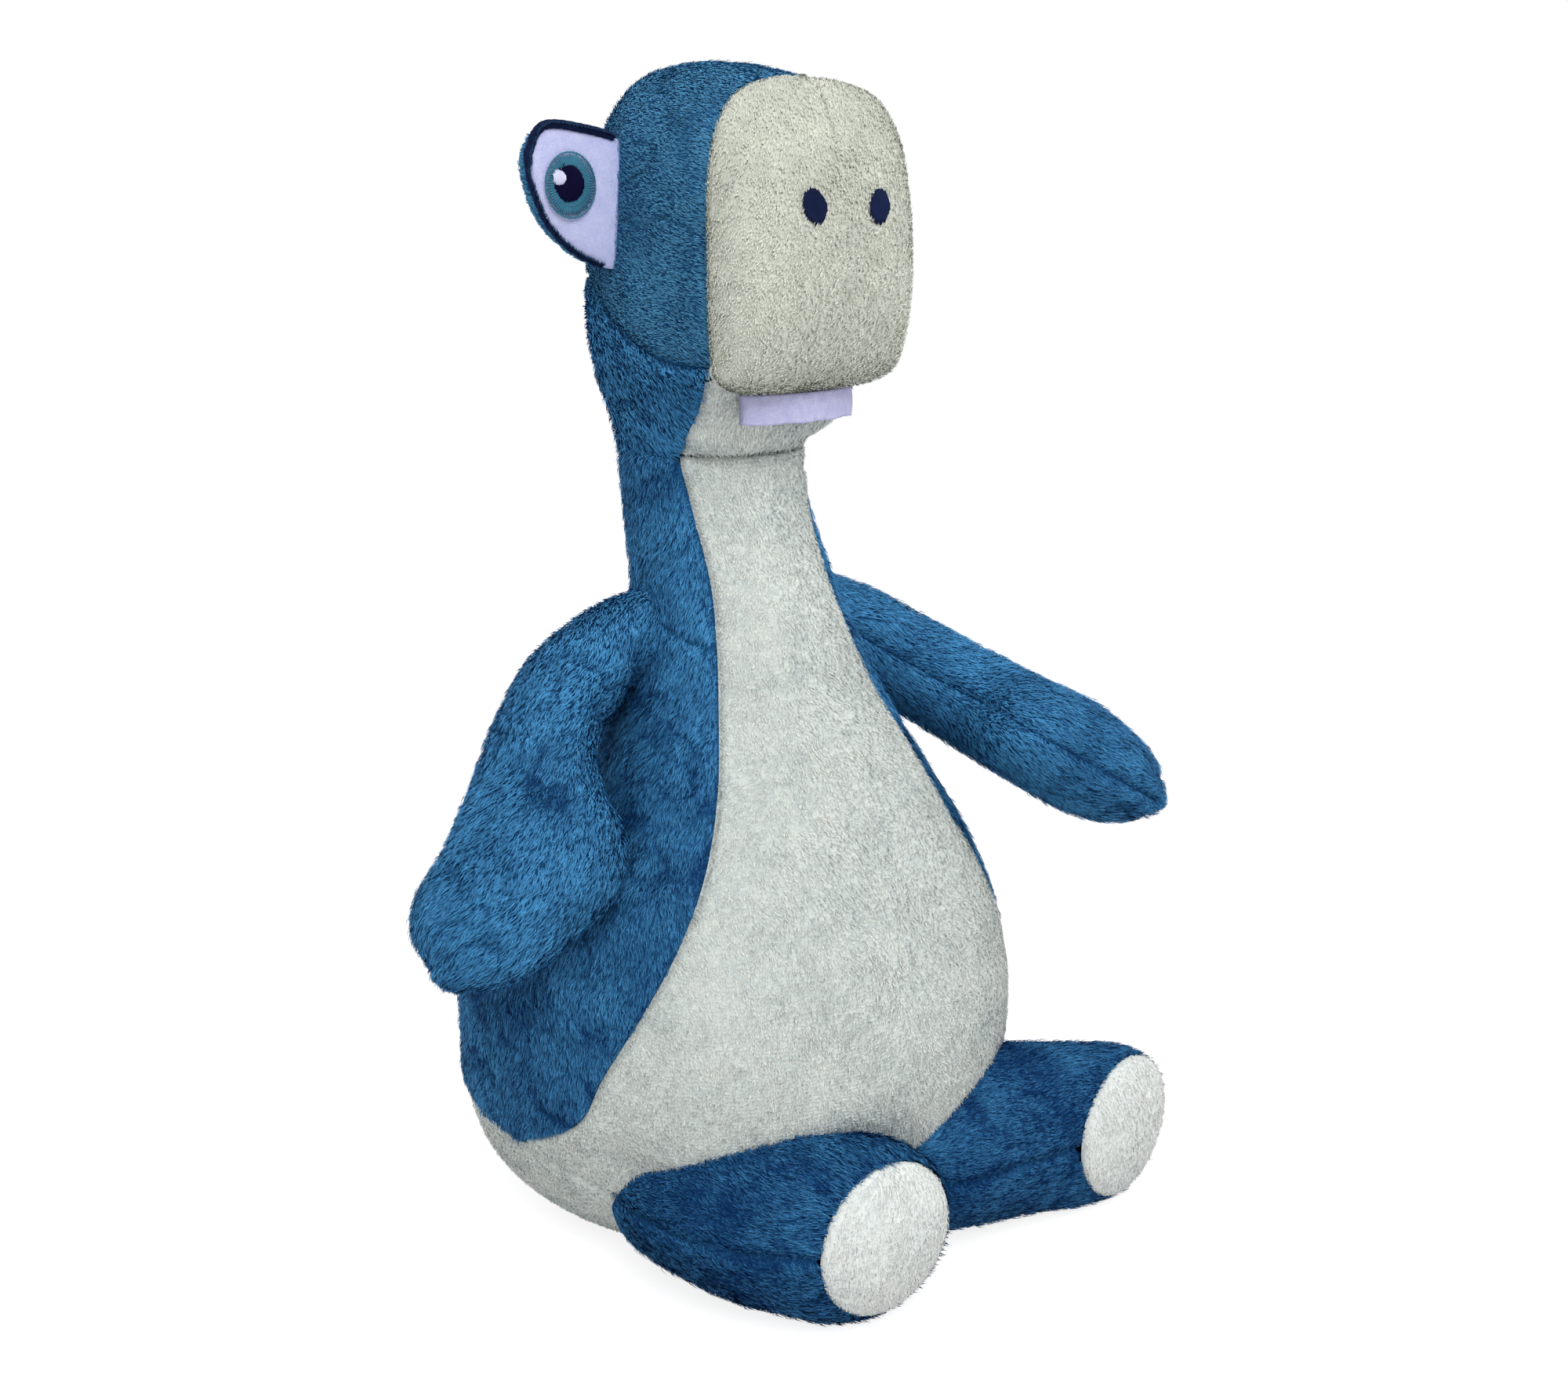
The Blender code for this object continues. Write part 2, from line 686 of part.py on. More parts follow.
def teeth_strip(parts):
    """A strip of felt, bent round the muzzle's lower edge."""
    outline = bpy.data.curves.new("teeth_strip", "CURVE")
    outline.dimensions = "2D"
    outline.fill_mode = "BOTH"
    outline.extrude = TEETH_HEIGHT / 2
    front = [teeth_point(share, 0.0) for share in spread(-1.0, 1.0, 10)]
    back = [teeth_point(share, TEETH_THICK) for share in spread(1.0, -1.0, 10)]
    spline = outline.splines.new("POLY")
    spline.points.add(len(front + back) - 1)
    for point, place in zip(spline.points, front + back):
        point.co = (*place, 0.0, 1.0)
    spline.use_cyclic_u = True
    return curve_piece("teeth_strip", outline, (0, 0, TEETH_TOP - TEETH_HEIGHT / 2), FELT, parts)


def teeth_point(share, depth):
    return (share * TEETH_HALF, TEETH_FRONT + depth + TEETH_SWEEP * share * share)


def curve_piece(name, curve, location, finish, parts):
    """A curve made into a welded mesh piece."""
    source = bpy.data.objects.new(name + "_path", curve)
    parts.objects.link(source)
    source.location = location
    bpy.context.view_layer.update()
    evaluated = source.evaluated_get(bpy.context.evaluated_depsgraph_get())
    mesh = bpy.data.meshes.new_from_object(evaluated)
    mesh_data = bmesh.new()
    mesh_data.from_mesh(mesh)
    bmesh.ops.remove_doubles(mesh_data, verts=mesh_data.verts, dist=0.00001)
    bmesh.ops.recalc_face_normals(mesh_data, faces=mesh_data.faces)
    mesh_data.to_mesh(mesh)
    mesh_data.free()
    mesh.materials.clear()
    piece = add_object(name, mesh, finish, parts)
    piece.matrix_world = source.matrix_world
    bpy.data.objects.remove(source, do_unlink=True)
    return piece


def nostril(name, side, parts):
    """An oval of dense stitching on the front of the muzzle."""
    row, angle = muzzle_place(NOSTRIL_X, NOSTRIL_Z)
    lift = TRIM_GAP + NOSTRIL_THICK / 2
    place = inset(muzzle_point, row, angle, -lift)
    outwards = place - inset(muzzle_point, row, angle, 0)
    place.x *= side
    outwards.x *= side
    return disc(name, place, outwards, NOSTRIL_SIZE, NOSTRIL_THICK, NAVY, parts)


def muzzle_place(x, height):
    """Row and angle of the muzzle's left side at a distance out and a height."""
    row = min(spread(0, len(MUZZLE) - 1, 400), key=lambda value: abs(smooth(MUZZLE, value)[0] - height))
    angle = min(spread(0, 90, 360), key=lambda value: abs(muzzle_point(row, value).x - x))
    return row, angle


def disc(name, place, outwards, size, thickness, finish, parts, segments=20):
    """A flat oval patch whose face looks outwards, with its height upright."""
    mesh_data = bmesh.new()
    bmesh.ops.create_cone(
        mesh_data, cap_ends=True, segments=segments, radius1=1, radius2=1, depth=thickness
    )
    for vertex in mesh_data.verts:
        vertex.co.x *= size[0]
        vertex.co.y *= size[1]
    piece = add_object(name, finish_mesh(name, mesh_data), finish, parts)
    facing = outwards.normalized()
    aside = Vector((0, 0, 1)).cross(facing).normalized()
    upright = facing.cross(aside)
    turn = Matrix((aside, upright, facing)).transposed()
    piece.rotation_euler = turn.to_euler()
    piece.location = place
    return piece


# ================================================================ eyes
def build_eyes(parts, guides, body):
    rows = spread(2.2, len(HEAD) - 1, 9)
    head_space = guide("head_space", filled_form("head_space", head_point, rows, 36, -JOINT_GAP), guides)
    for name, side in (("right", RIGHT), ("left", LEFT)):
        pieces = []
        spans = (("eye_white_" + name, EYE_WHITE, 180.0), ("eye_pouch_" + name, BLUE, 0.0))
        for piece_name, finish, start in spans:
            mesh = panel_mesh(
                piece_name,
                eye_point,
                lambda across: (0.0, len(EYE) - 1),
                lambda row, start=start: (start, start + 180.0),
                (len(EYE) - 1, 8),
                EYE_SKIN,
            )
            if side == LEFT:
                mirror_across(mesh)
            piece = add_object(piece_name, mesh, finish, parts)
            cut(piece, head_space)
            pieces.append(piece)
        pieces += eye_stitching(name, side, parts)
        for piece in pieces:
            attach(piece, body)


def eye_face_y(out, height):
    """Y of the eye's white face at a distance out and a height."""
    row = min(spread(0, len(EYE) - 1, 300), key=lambda value: abs(smooth(EYE, value)[0] - out))
    seam_y, front, back, low, high = smooth(EYE, row)[1:]
    share = min(1.0, abs(2 * height - low - high) / (high - low))
    return seam_y - front * math.sqrt(1 - share * share)


def eye_stitching(name, side, parts):
    """Iris, pupil, glint and the two lids, stacked on the white face."""
    pieces = []
    inner, outer = EYE[2], EYE[-2]
    slope = (outer[1] - inner[1]) / (outer[0] - inner[0])
    facing = Vector((side * slope, -1, 0)).normalized()
    spots = (
        ("iris_", IRIS_AT, IRIS_SIZE, TEAL),
        ("pupil_", PUPIL_AT, PUPIL_SIZE, INK),
        ("glint_", GLINT_AT, GLINT_SIZE, WHITE),
    )
    for level, (label, place, size, finish) in enumerate(spots):
        lift = TRIM_GAP + STITCH_THICK / 2 + level * (STITCH_THICK + TRIM_GAP)
        face = eye_face_y(*IRIS_AT) + slope * (place[0] - IRIS_AT[0])
        centre = Vector((side * place[0], face, place[1])) + facing * lift
        pieces.append(disc(label + name, centre, facing, size, STITCH_THICK, finish, parts))
    pieces.append(lid("upper_lid_" + name, side, UPPER_LID, LID_RADIUS, parts))
    pieces.append(lid("lower_lid_" + name, side, LOWER_LID, LOWER_LID_RADIUS, parts))
    return pieces


def lid(name, side, places, radius, parts):
    """A cord of stitching along the edge of the eye's white face."""
    curve = bpy.data.curves.new(name, "CURVE")
    curve.dimensions = "3D"
    curve.bevel_depth = radius
    curve.bevel_resolution = 1
    curve.use_fill_caps = True
    spline = curve.splines.new("POLY")
    steps = spread(0, len(places) - 1, 12)
    spline.points.add(len(steps) - 1)
    for point, step in zip(spline.points, steps):
        angle, row = smooth(places, step)
        place = eye_point(row, angle)
        place.x *= side * RIGHT
        place.y -= radius + TRIM_GAP + LID_STAND
        point.co = (*place, 1.0)
    return curve_piece(name, curve, (0, 0, 0), NAVY, parts)


# ================================================================ limbs
def torso_space(guides):
    """The room that the torso takes, which the limbs' roots are cut back from."""
    rows = [-0.5] + spread(0.0, NECK_ROW, 2 * NECK_ROW)
    mesh = filled_form("torso_space", trunk_point, rows, 2 * RING_COUNT, -JOINT_GAP)
    return guide("torso_space", mesh, guides)


def place_limb(pieces, start, along, aside, body, space):
    """Stand a limb's pieces at its root, with local Z along it and X aside."""
    forward = Vector(along).normalized()
    aside = (Vector(aside) - forward * Vector(aside).dot(forward)).normalized()
    turn = Matrix((aside, forward.cross(aside), forward)).transposed()
    for piece in pieces:
        piece.rotation_euler = turn.to_euler()
        piece.location = start
        cut(piece, space)
        attach(piece, body)


def half_panel_mesh(name, surface, last, start):
    """One of the two panels of a limb, from its root to its last row."""
    return panel_mesh(
        name,
        surface,
        lambda across: (0.0, last),
        lambda row: (start, start + 180.0),
        (last, RING_COUNT // 2),
    )


def limb_stuffing_mesh(name, surface, last):
    """Stuffing whose rows lie under the panels' own rows, and end short of the tip."""
    rows = [float(row) for row in range(last)]
    return filled_form(name, surface, rows, RING_COUNT, SKIN + FILL_GAP)


def build_arm(name, arm, parts, body, space):
    pieces = []
    last = len(ARM) - 1
    outer = arm["outer"]
    for label, side in (("outer", outer), ("inner", -outer)):
        piece_name = "arm_" + label + "_panel_" + name
        start = 0.0 if side > 0 else 180.0
        mesh = half_panel_mesh(piece_name, arm_point, last, start)
        pieces.append(add_object(piece_name, mesh, BLUE, parts))
    stuffing = "arm_stuffing_" + name
    pieces.append(add_object(stuffing, limb_stuffing_mesh(stuffing, arm_point, last), FILLING, parts))
    place_limb(pieces, arm["shoulder"], arm["along"], arm["thumb"], body, space)


def build_leg(name, leg, parts, body, space):
    pieces = []
    last = len(leg) - 1
    surface = leg_surface(leg)
    for label, start in (("upper", 0.0), ("lower", 180.0)):
        piece_name = "leg_" + label + "_panel_" + name
        mesh = half_panel_mesh(piece_name, surface, last, start)
        pieces.append(add_object(piece_name, mesh, BLUE, parts))
    stuffing = "leg_stuffing_" + name
    pieces.append(add_object(stuffing, limb_stuffing_mesh(stuffing, surface, last), FILLING, parts))
    for piece in pieces:
        cut(piece, space)
        attach(piece, body)
    attach(sole("sole_" + name, leg, parts), body)


def sole(name, leg, parts):
    """A domed disc that closes the foot: a turned profile."""
    profile = [(0.0, SOLE_DOME)]
    for turn in SOLE_STEPS:
        reach = math.sin(math.radians(turn))
        rise = math.cos(math.radians(turn))
        profile.append((SOLE_RADIUS * reach, SOLE_DOME * rise))
    profile.append((SOLE_RADIUS, 0.0))
    profile.append((0.0, 0.0))
    mesh_data = bmesh.new()
    points = [mesh_data.verts.new((x, 0.0, height)) for x, height in profile]
    for first, second in zip(points, points[1:]):
        mesh_data.edges.new((first, second))
    mesh = bpy.data.meshes.new(name)
    mesh_data.to_mesh(mesh)
    mesh_data.free()
    piece = add_object(name, mesh, CREAM, parts)
    turned = piece.modifiers.new("turn", "SCREW")
    turned.axis = "Z"
    turned.steps = RING_COUNT
    turned.render_steps = RING_COUNT
    turned.use_merge_vertices = True
    turned.merge_threshold = 0.00001
    x, y, height, facing = leg[-1][:4]
    way = math.radians(facing)
    ahead = Vector((math.sin(way), -math.cos(way), 0))
    aside = Vector((math.cos(way), math.sin(way), 0))
    piece.rotation_euler = Matrix((aside, ahead.cross(aside), ahead)).transposed().to_euler()
    piece.location = Vector((x, y, height)) + ahead * SEAM_GAP
    return piece


def build_tail(parts, body, space):
    last = len(TAIL) - 1
    pieces = []
    for name, start in (("tail_panel_left", 0.0), ("tail_panel_right", 180.0)):
        mesh = half_panel_mesh(name, tail_point, last, start)
        pieces.append(add_object(name, mesh, BLUE, parts))
    mesh = limb_stuffing_mesh("tail_stuffing", tail_point, last)
    pieces.append(add_object("tail_stuffing", mesh, FILLING, parts))
    for piece in pieces:
        cut(piece, space)
        attach(piece, body)


# ================================================================ assembly
def main():
    clear_scene()
    parts = new_collection("stuffed_dinosaur")
    guides = new_collection("guides")
    torso = add_body("torso", (0, 0, 0), None, parts)
    neck = add_body("neck", NECK_PIVOT, torso, parts)
    head = add_body("head", (0, TRUNK[CROWN_ROW][2], TRUNK[CROWN_ROW][0]), neck, parts)
    build_torso(parts)
    build_neck(parts, neck)
    build_head(parts, head)
    build_eyes(parts, guides, head)
    space = torso_space(guides)
    for name, arm in (("right", RIGHT_ARM), ("left", LEFT_ARM)):
        build_arm(name, arm, parts, add_body("arm_" + name, arm["pivot"], torso, parts), space)
    for name, leg in (("right", RIGHT_LEG), ("left", LEFT_LEG)):
        build_leg(name, leg, parts, add_body("leg_" + name, LEG_PIVOTS[name], torso, parts), space)
    build_tail(parts, add_body("tail", TAIL_PIVOT, torso, parts), space)
    for piece in parts.objects:
        if piece.type == "MESH" and piece.parent is None:
            attach(piece, torso)


main()
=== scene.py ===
import math

import bpy
import numpy as np
from mathutils import Matrix


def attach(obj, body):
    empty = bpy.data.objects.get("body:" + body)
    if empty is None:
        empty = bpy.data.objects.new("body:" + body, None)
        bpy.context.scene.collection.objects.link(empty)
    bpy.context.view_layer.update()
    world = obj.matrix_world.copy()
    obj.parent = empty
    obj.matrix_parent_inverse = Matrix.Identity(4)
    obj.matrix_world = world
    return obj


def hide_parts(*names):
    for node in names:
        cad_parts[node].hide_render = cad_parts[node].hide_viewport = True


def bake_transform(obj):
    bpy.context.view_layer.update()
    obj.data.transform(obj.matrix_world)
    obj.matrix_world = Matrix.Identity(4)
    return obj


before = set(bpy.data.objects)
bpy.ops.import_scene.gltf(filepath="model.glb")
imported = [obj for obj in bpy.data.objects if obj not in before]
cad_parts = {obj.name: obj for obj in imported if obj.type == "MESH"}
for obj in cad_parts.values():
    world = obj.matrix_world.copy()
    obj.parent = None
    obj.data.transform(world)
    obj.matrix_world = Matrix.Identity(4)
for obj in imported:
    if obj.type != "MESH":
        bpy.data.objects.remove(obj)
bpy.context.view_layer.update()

# ================ the object's sizes, as in its source
# height, half width, centre Y, turn of the panels, half angle to the belly and back seams
TRUNK = [
    (0.000, 0.0500, 0.0080, -9, 81, 85), (0.008, 0.0620, 0.0080, -9, 81, 85),
    (0.020, 0.0725, 0.0065, -9, 81, 85), (0.037, 0.0800, 0.0030, -9, 81, 85),
    (0.051, 0.0825, 0.0010, -9, 66, 94), (0.068, 0.0822, 0.0000, -9, 60, 98),
    (0.086, 0.0780, -0.0020, -9, 54, 100), (0.104, 0.0695, -0.0050, -9, 49.5, 100),
    (0.122, 0.0585, -0.0075, -9, 47, 100), (0.140, 0.0475, -0.0085, -9, 47, 100),
    (0.158, 0.0380, -0.0060, -9, 47, 100), (0.176, 0.0315, -0.0030, -9, 46.5, 100),
    (0.193, 0.0278, 0.0010, -9, 46, 100), (0.210, 0.0262, 0.0060, -6, 52, 103),
    (0.226, 0.0258, 0.0076, 0, 66, 109),
]
HEM_ROW = 1
UNDERSIDE_ROW = 3
SLEEVE_ROW = 10.5        # where the sleeve panels round the lower neck begin
TURN_ROW = 12.6          # where the neck panels under the head begin
CROWN_ROW = 14
HEM_RISE_START = 0.15

# height, half width, centre Y, front reach, back reach
HEAD = [
    (0.2263, 0.0258, 0.0076, 0.0258, 0.0258), (0.2330, 0.0272, 0.0020, 0.0255, 0.0335),
    (0.2400, 0.0292, -0.0070, 0.0190, 0.0455), (0.2465, 0.0315, -0.0180, 0.0070, 0.0595),
    (0.2560, 0.0337, -0.0250, 0.0040, 0.0685), (0.2680, 0.0344, -0.0265, 0.0040, 0.0713),
    (0.2840, 0.0346, -0.0265, 0.0040, 0.0708), (0.3000, 0.0341, -0.0265, 0.0040, 0.0670),
    (0.3130, 0.0308, -0.0265, 0.0040, 0.0600), (0.3210, 0.0243, -0.0265, 0.0040, 0.0515),
    (0.3245, 0.0140, -0.0265, 0.0040, 0.0390), (0.3255, 0.0043, -0.0265, 0.0020, 0.0200),
]
JAW_SEAM = 66.0
# height, half width, reach forward of the cheek seam
MUZZLE = [
    (0.2452, 0.0180, 0.0030), (0.2458, 0.0255, 0.0075), (0.2490, 0.0318, 0.0125),
    (0.2560, 0.0337, 0.0160), (0.2680, 0.0344, 0.0182), (0.2840, 0.0346, 0.0186),
    (0.3000, 0.0341, 0.0172), (0.3130, 0.0308, 0.0140), (0.3210, 0.0243, 0.0100),
    (0.3245, 0.0140, 0.0060), (0.3255, 0.0043, 0.0020),
]
MUZZLE_SEAM_Y = -0.0265
NOSTRIL_AT = (0.0123, 0.293)
NOSTRIL_SIZE = (0.0039, 0.0046)
TEETH_HALF = 0.0205
TEETH_TOP = 0.2444
TEETH_HEIGHT = 0.0080
TEETH_THICK = 0.0026
TEETH_FRONT = -0.0325
TEETH_SWEEP = 0.0050

# out, seam Y, bulge in front, bulge behind, low, high
EYE = [
    (0.0235, 0.0118, 0.0024, 0.0190, 0.2765, 0.3085), (0.0300, 0.0122, 0.0024, 0.0185, 0.2765, 0.3105),
    (0.0360, 0.0128, 0.0024, 0.0165, 0.2775, 0.3120), (0.0420, 0.0136, 0.0024, 0.0140, 0.2800, 0.3130),
    (0.0480, 0.0144, 0.0024, 0.0110, 0.2840, 0.3137), (0.0525, 0.0150, 0.0022, 0.0080, 0.2890, 0.3133),
    (0.0552, 0.0154, 0.0019, 0.0055, 0.2945, 0.3110), (0.0562, 0.0156, 0.0018, 0.0042, 0.2980, 0.3085),
]
IRIS_AT, IRIS_SIZE = (0.0464, 0.2984), (0.0076, 0.0085)
PUPIL_AT, PUPIL_SIZE = (0.0471, 0.2988), (0.0038, 0.0047)
GLINT_AT, GLINT_SIZE = (0.0503, 0.3002), (0.0018, 0.0022)

# along, back edge, thumb edge, half thickness
ARM = [
    (0.000, -0.0050, 0.0040, 0.0055), (0.010, -0.0115, 0.0070, 0.0112), (0.024, -0.0200, 0.0055, 0.0134),
    (0.042, -0.0250, 0.0010, 0.0140), (0.057, -0.0250, 0.0025, 0.0144), (0.067, -0.0240, 0.0100, 0.0146),
    (0.076, -0.0225, 0.0215, 0.0148), (0.088, -0.0205, 0.0258, 0.0154), (0.102, -0.0192, 0.0222, 0.0156),
    (0.115, -0.0195, 0.0175, 0.0132), (0.124, -0.0155, 0.0115, 0.0090), (0.129, -0.0080, 0.0045, 0.0042),
]
ARMS = {
    "right": ((-0.0142, 0.0100, 0.1846), (-0.743, -0.179, -0.645), (0.583, -0.646, -0.492), 1),
    "left": ((0.0278, 0.0066, 0.1794), (0.548, -0.683, -0.476), (-0.688, -0.695, 0.208), -1),
}
# x, y, height, facing, half width, half height
LEGS = {
    "right": [
        (-0.0420, -0.0240, 0.0268, 0, 0.0285, 0.0255), (-0.0420, -0.0400, 0.0270, 0, 0.0295, 0.0262),
        (-0.0412, -0.0570, 0.0270, 0, 0.0290, 0.0262), (-0.0380, -0.0720, 0.0266, -4, 0.0266, 0.0258),
        (-0.0330, -0.0840, 0.0263, -8, 0.0252, 0.0254), (-0.0308, -0.0895, 0.0262, -8.5, 0.0222, 0.0222),
    ],
    "left": [
        (0.0140, -0.0420, 0.0262, 16, 0.0300, 0.0245), (0.0180, -0.0580, 0.0264, 22, 0.0320, 0.0252),
        (0.0310, -0.0690, 0.0262, 34, 0.0312, 0.0252), (0.0490, -0.0805, 0.0258, 28, 0.0248, 0.0248),
        (0.0630, -0.0900, 0.0253, 13, 0.0240, 0.0243), (0.0690, -0.0955, 0.0250, 3, 0.0218, 0.0218),
    ],
}
SOLE_RADIUS = 0.0219
SOLE_DOME = 0.0065
SOLE_GAP = 0.0005        # from the leg's last row to the rim of the dome
# x, y, height of the middle, radius
TAIL = [
    (0.000, 0.0600, 0.0290, 0.0265), (0.001, 0.0800, 0.0260, 0.0245), (0.004, 0.0980, 0.0215, 0.0205),
    (0.010, 0.1140, 0.0170, 0.0160), (0.018, 0.1280, 0.0125, 0.0115), (0.026, 0.1390, 0.0090, 0.0078),
    (0.031, 0.1450, 0.0070, 0.0042),
]

LID_CORNER = (0.0573, 0.0158)      # where the lids' cords meet, out and Y
JAW_TOP_ROW = 3.7
MOUTH_ROW, MOUTH_ROWS = 3.0, 0.6   # where the jaw widens to the cheek seam, and over how many rows
CHEEK_ROW, CHEEK_CLIMB = 3.6, 1.8  # of the seam between head and nape, at the muzzle and up to the back
MOUTH_TUCK = 0.0018                # how far the head's front edge turns in under the muzzle
BASE_START, SOLE_END = -0.999, 0.995      # rows just short of the middle of the base and of a sole
IRIS_SPOKES, RING_STITCHES = 64, 48
HEAD_FOLD = 0.2255                 # height where the neck meets the head
HEAD_SQUARENESS, MUZZLE_SQUARENESS = 2.6, 3.2
MUZZLE_CROWDING = 1.6
# middle Y and half length of the hump on the crown, its rise, and where that begins
HUMP_Y, HUMP_REACH, HUMP_RISE, HUMP_FROM = 0.010, 0.032, 0.0055, 0.290

SIDES = (("right", -1), ("left", 1))
MM = 0.001
SKIN = 0.0022            # panel fabric with its backing
OVER_FLOOR = 0.0002      # the least height of cloth and pile
MOST_STRANDS = 62000     # of pile on one piece
SHADES = 8               # tones of one kind of pile, for dye and for painted shade and light
TIP_ROWS = 8             # that close a form beyond its last row
THREAD_SIDES = 6
CORD_TWIST = 20.0        # radians along a lid


# ================ numbers and noise
def smooth(table, rows):
    """A table's values at rows that may lie between two of its lines."""
    table = np.asarray(table, float)
    last = len(table) - 1
    rows = np.clip(np.asarray(rows, float), 0, last)
    low = np.minimum(rows.astype(int), last - 1)
    part = (rows - low)[..., None]
    a = table[np.maximum(low - 1, 0)]
    b = table[low]
    c = table[low + 1]
    d = table[np.minimum(low + 2, last)]
    bend = part * (2 * a - 5 * b + 4 * c - d + part * (3 * b - a - 3 * c + d))
    return b + 0.5 * part * (c - a + bend)


def ease(share):
    share = np.clip(share, 0, 1)
    return share * share * (3 - 2 * share)


def unit(vectors):
    return vectors / np.maximum(np.linalg.norm(vectors, axis=-1, keepdims=True), 1e-12)


def scatter(cells, seed):
    """A repeatable number from 0 to 1 for each cell of a grid."""
    mixed = cells[..., 0] * 73856093 ^ cells[..., 1] * 19349663 ^ cells[..., 2] * 83492791
    mixed = (mixed ^ (seed * 668265263)) & 0x7FFFFFFF
    mixed = ((mixed ^ (mixed >> 13)) * 1274126177) & 0x7FFFFFFF
    mixed = ((mixed ^ (mixed >> 15)) * 2246822519) & 0x7FFFFFFF
    return mixed / 0x7FFFFFFF


def noise(points, size, seed):
    """Smooth noise from about -1 to 1, with hills of about this size."""
    places = points / size
    cells = np.floor(places).astype(np.int64)
    part = ease(places - cells)
    total = np.zeros(points.shape[:-1])
    for corner in range(8):
        step = np.array([(corner >> 2) & 1, (corner >> 1) & 1, corner & 1])
        weight = np.prod(np.where(step, part, 1 - part), axis=-1)
        total += weight * (2 * scatter(cells + step, seed) - 1)
    return total


def tufts(points, size, seed):
    """The middle of the tuft that each point belongs to, and a number of its own."""
    places = points / size
    cells = np.floor(places).astype(np.int64)
    nearest = np.full(points.shape[:-1], np.inf)
    middle = np.zeros(points.shape)
    own = np.zeros(points.shape[:-1])
    for index in range(27):
        cell = cells + np.array([index // 9 - 1, index // 3 % 3 - 1, index % 3 - 1])
        centre = cell + np.stack([scatter(cell, seed + k) for k in range(3)], axis=-1)
        away = np.sum((places - centre) ** 2, axis=-1)
        closer = away < nearest
        nearest = np.where(closer, away, nearest)
        middle = np.where(closer[..., None], centre, middle)
        own = np.where(closer, scatter(cell, seed + 3), own)
    return middle * size, own


# ================ surfaces
def rounded(angles, squareness):
    power = 2 / squareness
    cosine = np.cos(np.radians(angles))
    sine = np.sin(np.radians(angles))
    return np.sign(cosine) * np.abs(cosine) ** power, np.sign(sine) * np.abs(sine) ** power


def trunk(rows, angles):
    values = smooth(TRUNK, rows)
    half = values[..., 1] * np.where(rows < 0, 1 + rows, 1.0)
    turn = np.radians(angles)
    return np.stack([half * np.sin(turn), values[..., 2] - half * np.cos(turn), values[..., 0]], axis=-1)


def belly_edges(rows):
    values = smooth(TRUNK, rows)
    return values[..., 3] - values[..., 4], values[..., 3] + values[..., 4]


def back_edges(rows):
    values = smooth(TRUNK, rows)
    return values[..., 3] + values[..., 5], values[..., 3] + 360 - values[..., 5]


def hem_row(share):
    climb = ease((np.abs(share) - HEM_RISE_START) / (1 - HEM_RISE_START))
    return HEM_ROW + (UNDERSIDE_ROW - HEM_ROW) * climb


def base_hem(angles):
    turn, half = TRUNK[0][3:5]
    turned = np.abs((angles - turn + 180) % 360 - 180)
    return hem_row(np.minimum(turned / half, 1.0))


def crown_rise(y, height):
    hump = np.maximum(0.0, 1 - ((y - HUMP_Y) / HUMP_REACH) ** 2)
    return HUMP_RISE * hump * ease((height - HUMP_FROM) / 0.0275)


def head(rows, angles):
    values = smooth(HEAD, rows)
    squareness = np.where(rows <= MOUTH_ROW, 2.0 + 0.2 * np.maximum(rows, 0), HEAD_SQUARENESS)
    cosine, sine = rounded(angles, squareness)
    reach = np.where(cosine > 0, values[..., 3], values[..., 4])
    y = values[..., 2] - reach * cosine
    return np.stack([values[..., 1] * sine, y, values[..., 0] + crown_rise(y, values[..., 0])], axis=-1)


def muzzle(rows, angles):
    """Its angles crowd towards the middle, so that its columns are evenly wide."""
    values = smooth(MUZZLE, rows)
    even = np.sign(angles) * 90 * (np.abs(angles) / 90) ** MUZZLE_CROWDING
    cosine, sine = rounded(even, MUZZLE_SQUARENESS)
    y = MUZZLE_SEAM_Y - values[..., 2] * cosine
    return np.stack([values[..., 1] * sine, y, values[..., 0] + crown_rise(y, values[..., 0])], axis=-1)


def eye(side):
    def surface(rows, angles):
        """The right eye's angles run the other way from the left one's."""
        values = smooth(EYE, rows)
        turn = np.radians(-angles * side)
        bulge = np.where(np.sin(turn) < 0, values[..., 2], values[..., 3])
        y = values[..., 1] + bulge * np.sin(turn)
        low, high = values[..., 4], values[..., 5]
        z = (low + high) / 2 + (high - low) / 2 * np.cos(turn)
        return np.stack([side * values[..., 0], y, z], axis=-1)
    return surface


def arm_frame(side):
    """Columns of the arm's own axes, and its shoulder."""
    shoulder, along, thumb, _ = ARMS[side]
    along = unit(np.array(along))
    thumb = np.array(thumb)
    thumb = unit(thumb - along * thumb.dot(along))
    return np.array(shoulder), thumb, np.cross(along, thumb), along


def arm(side):
    shoulder, aside, flat, along = arm_frame(side)

    def surface(rows, angles):
        values = smooth(ARM, rows)
        turn = np.radians(angles)
        middle = (values[..., 2] + values[..., 1]) / 2
        half = (values[..., 2] - values[..., 1]) / 2
        x = (middle + half * np.cos(turn))[..., None]
        y = (values[..., 3] * np.sin(turn))[..., None]
        return shoulder + x * aside + y * flat + values[..., :1] * along
    return surface


def leg(side):
    def surface(rows, angles):
        values = smooth(LEGS[side], rows)
        way = np.radians(values[..., 3])
        turn = np.radians(angles)
        reach = values[..., 4] * np.cos(turn)
        x = values[..., 0] + np.cos(way) * reach
        y = values[..., 1] + np.sin(way) * reach
        return np.stack([x, y, values[..., 2] + values[..., 5] * np.sin(turn)], axis=-1)
    return surface


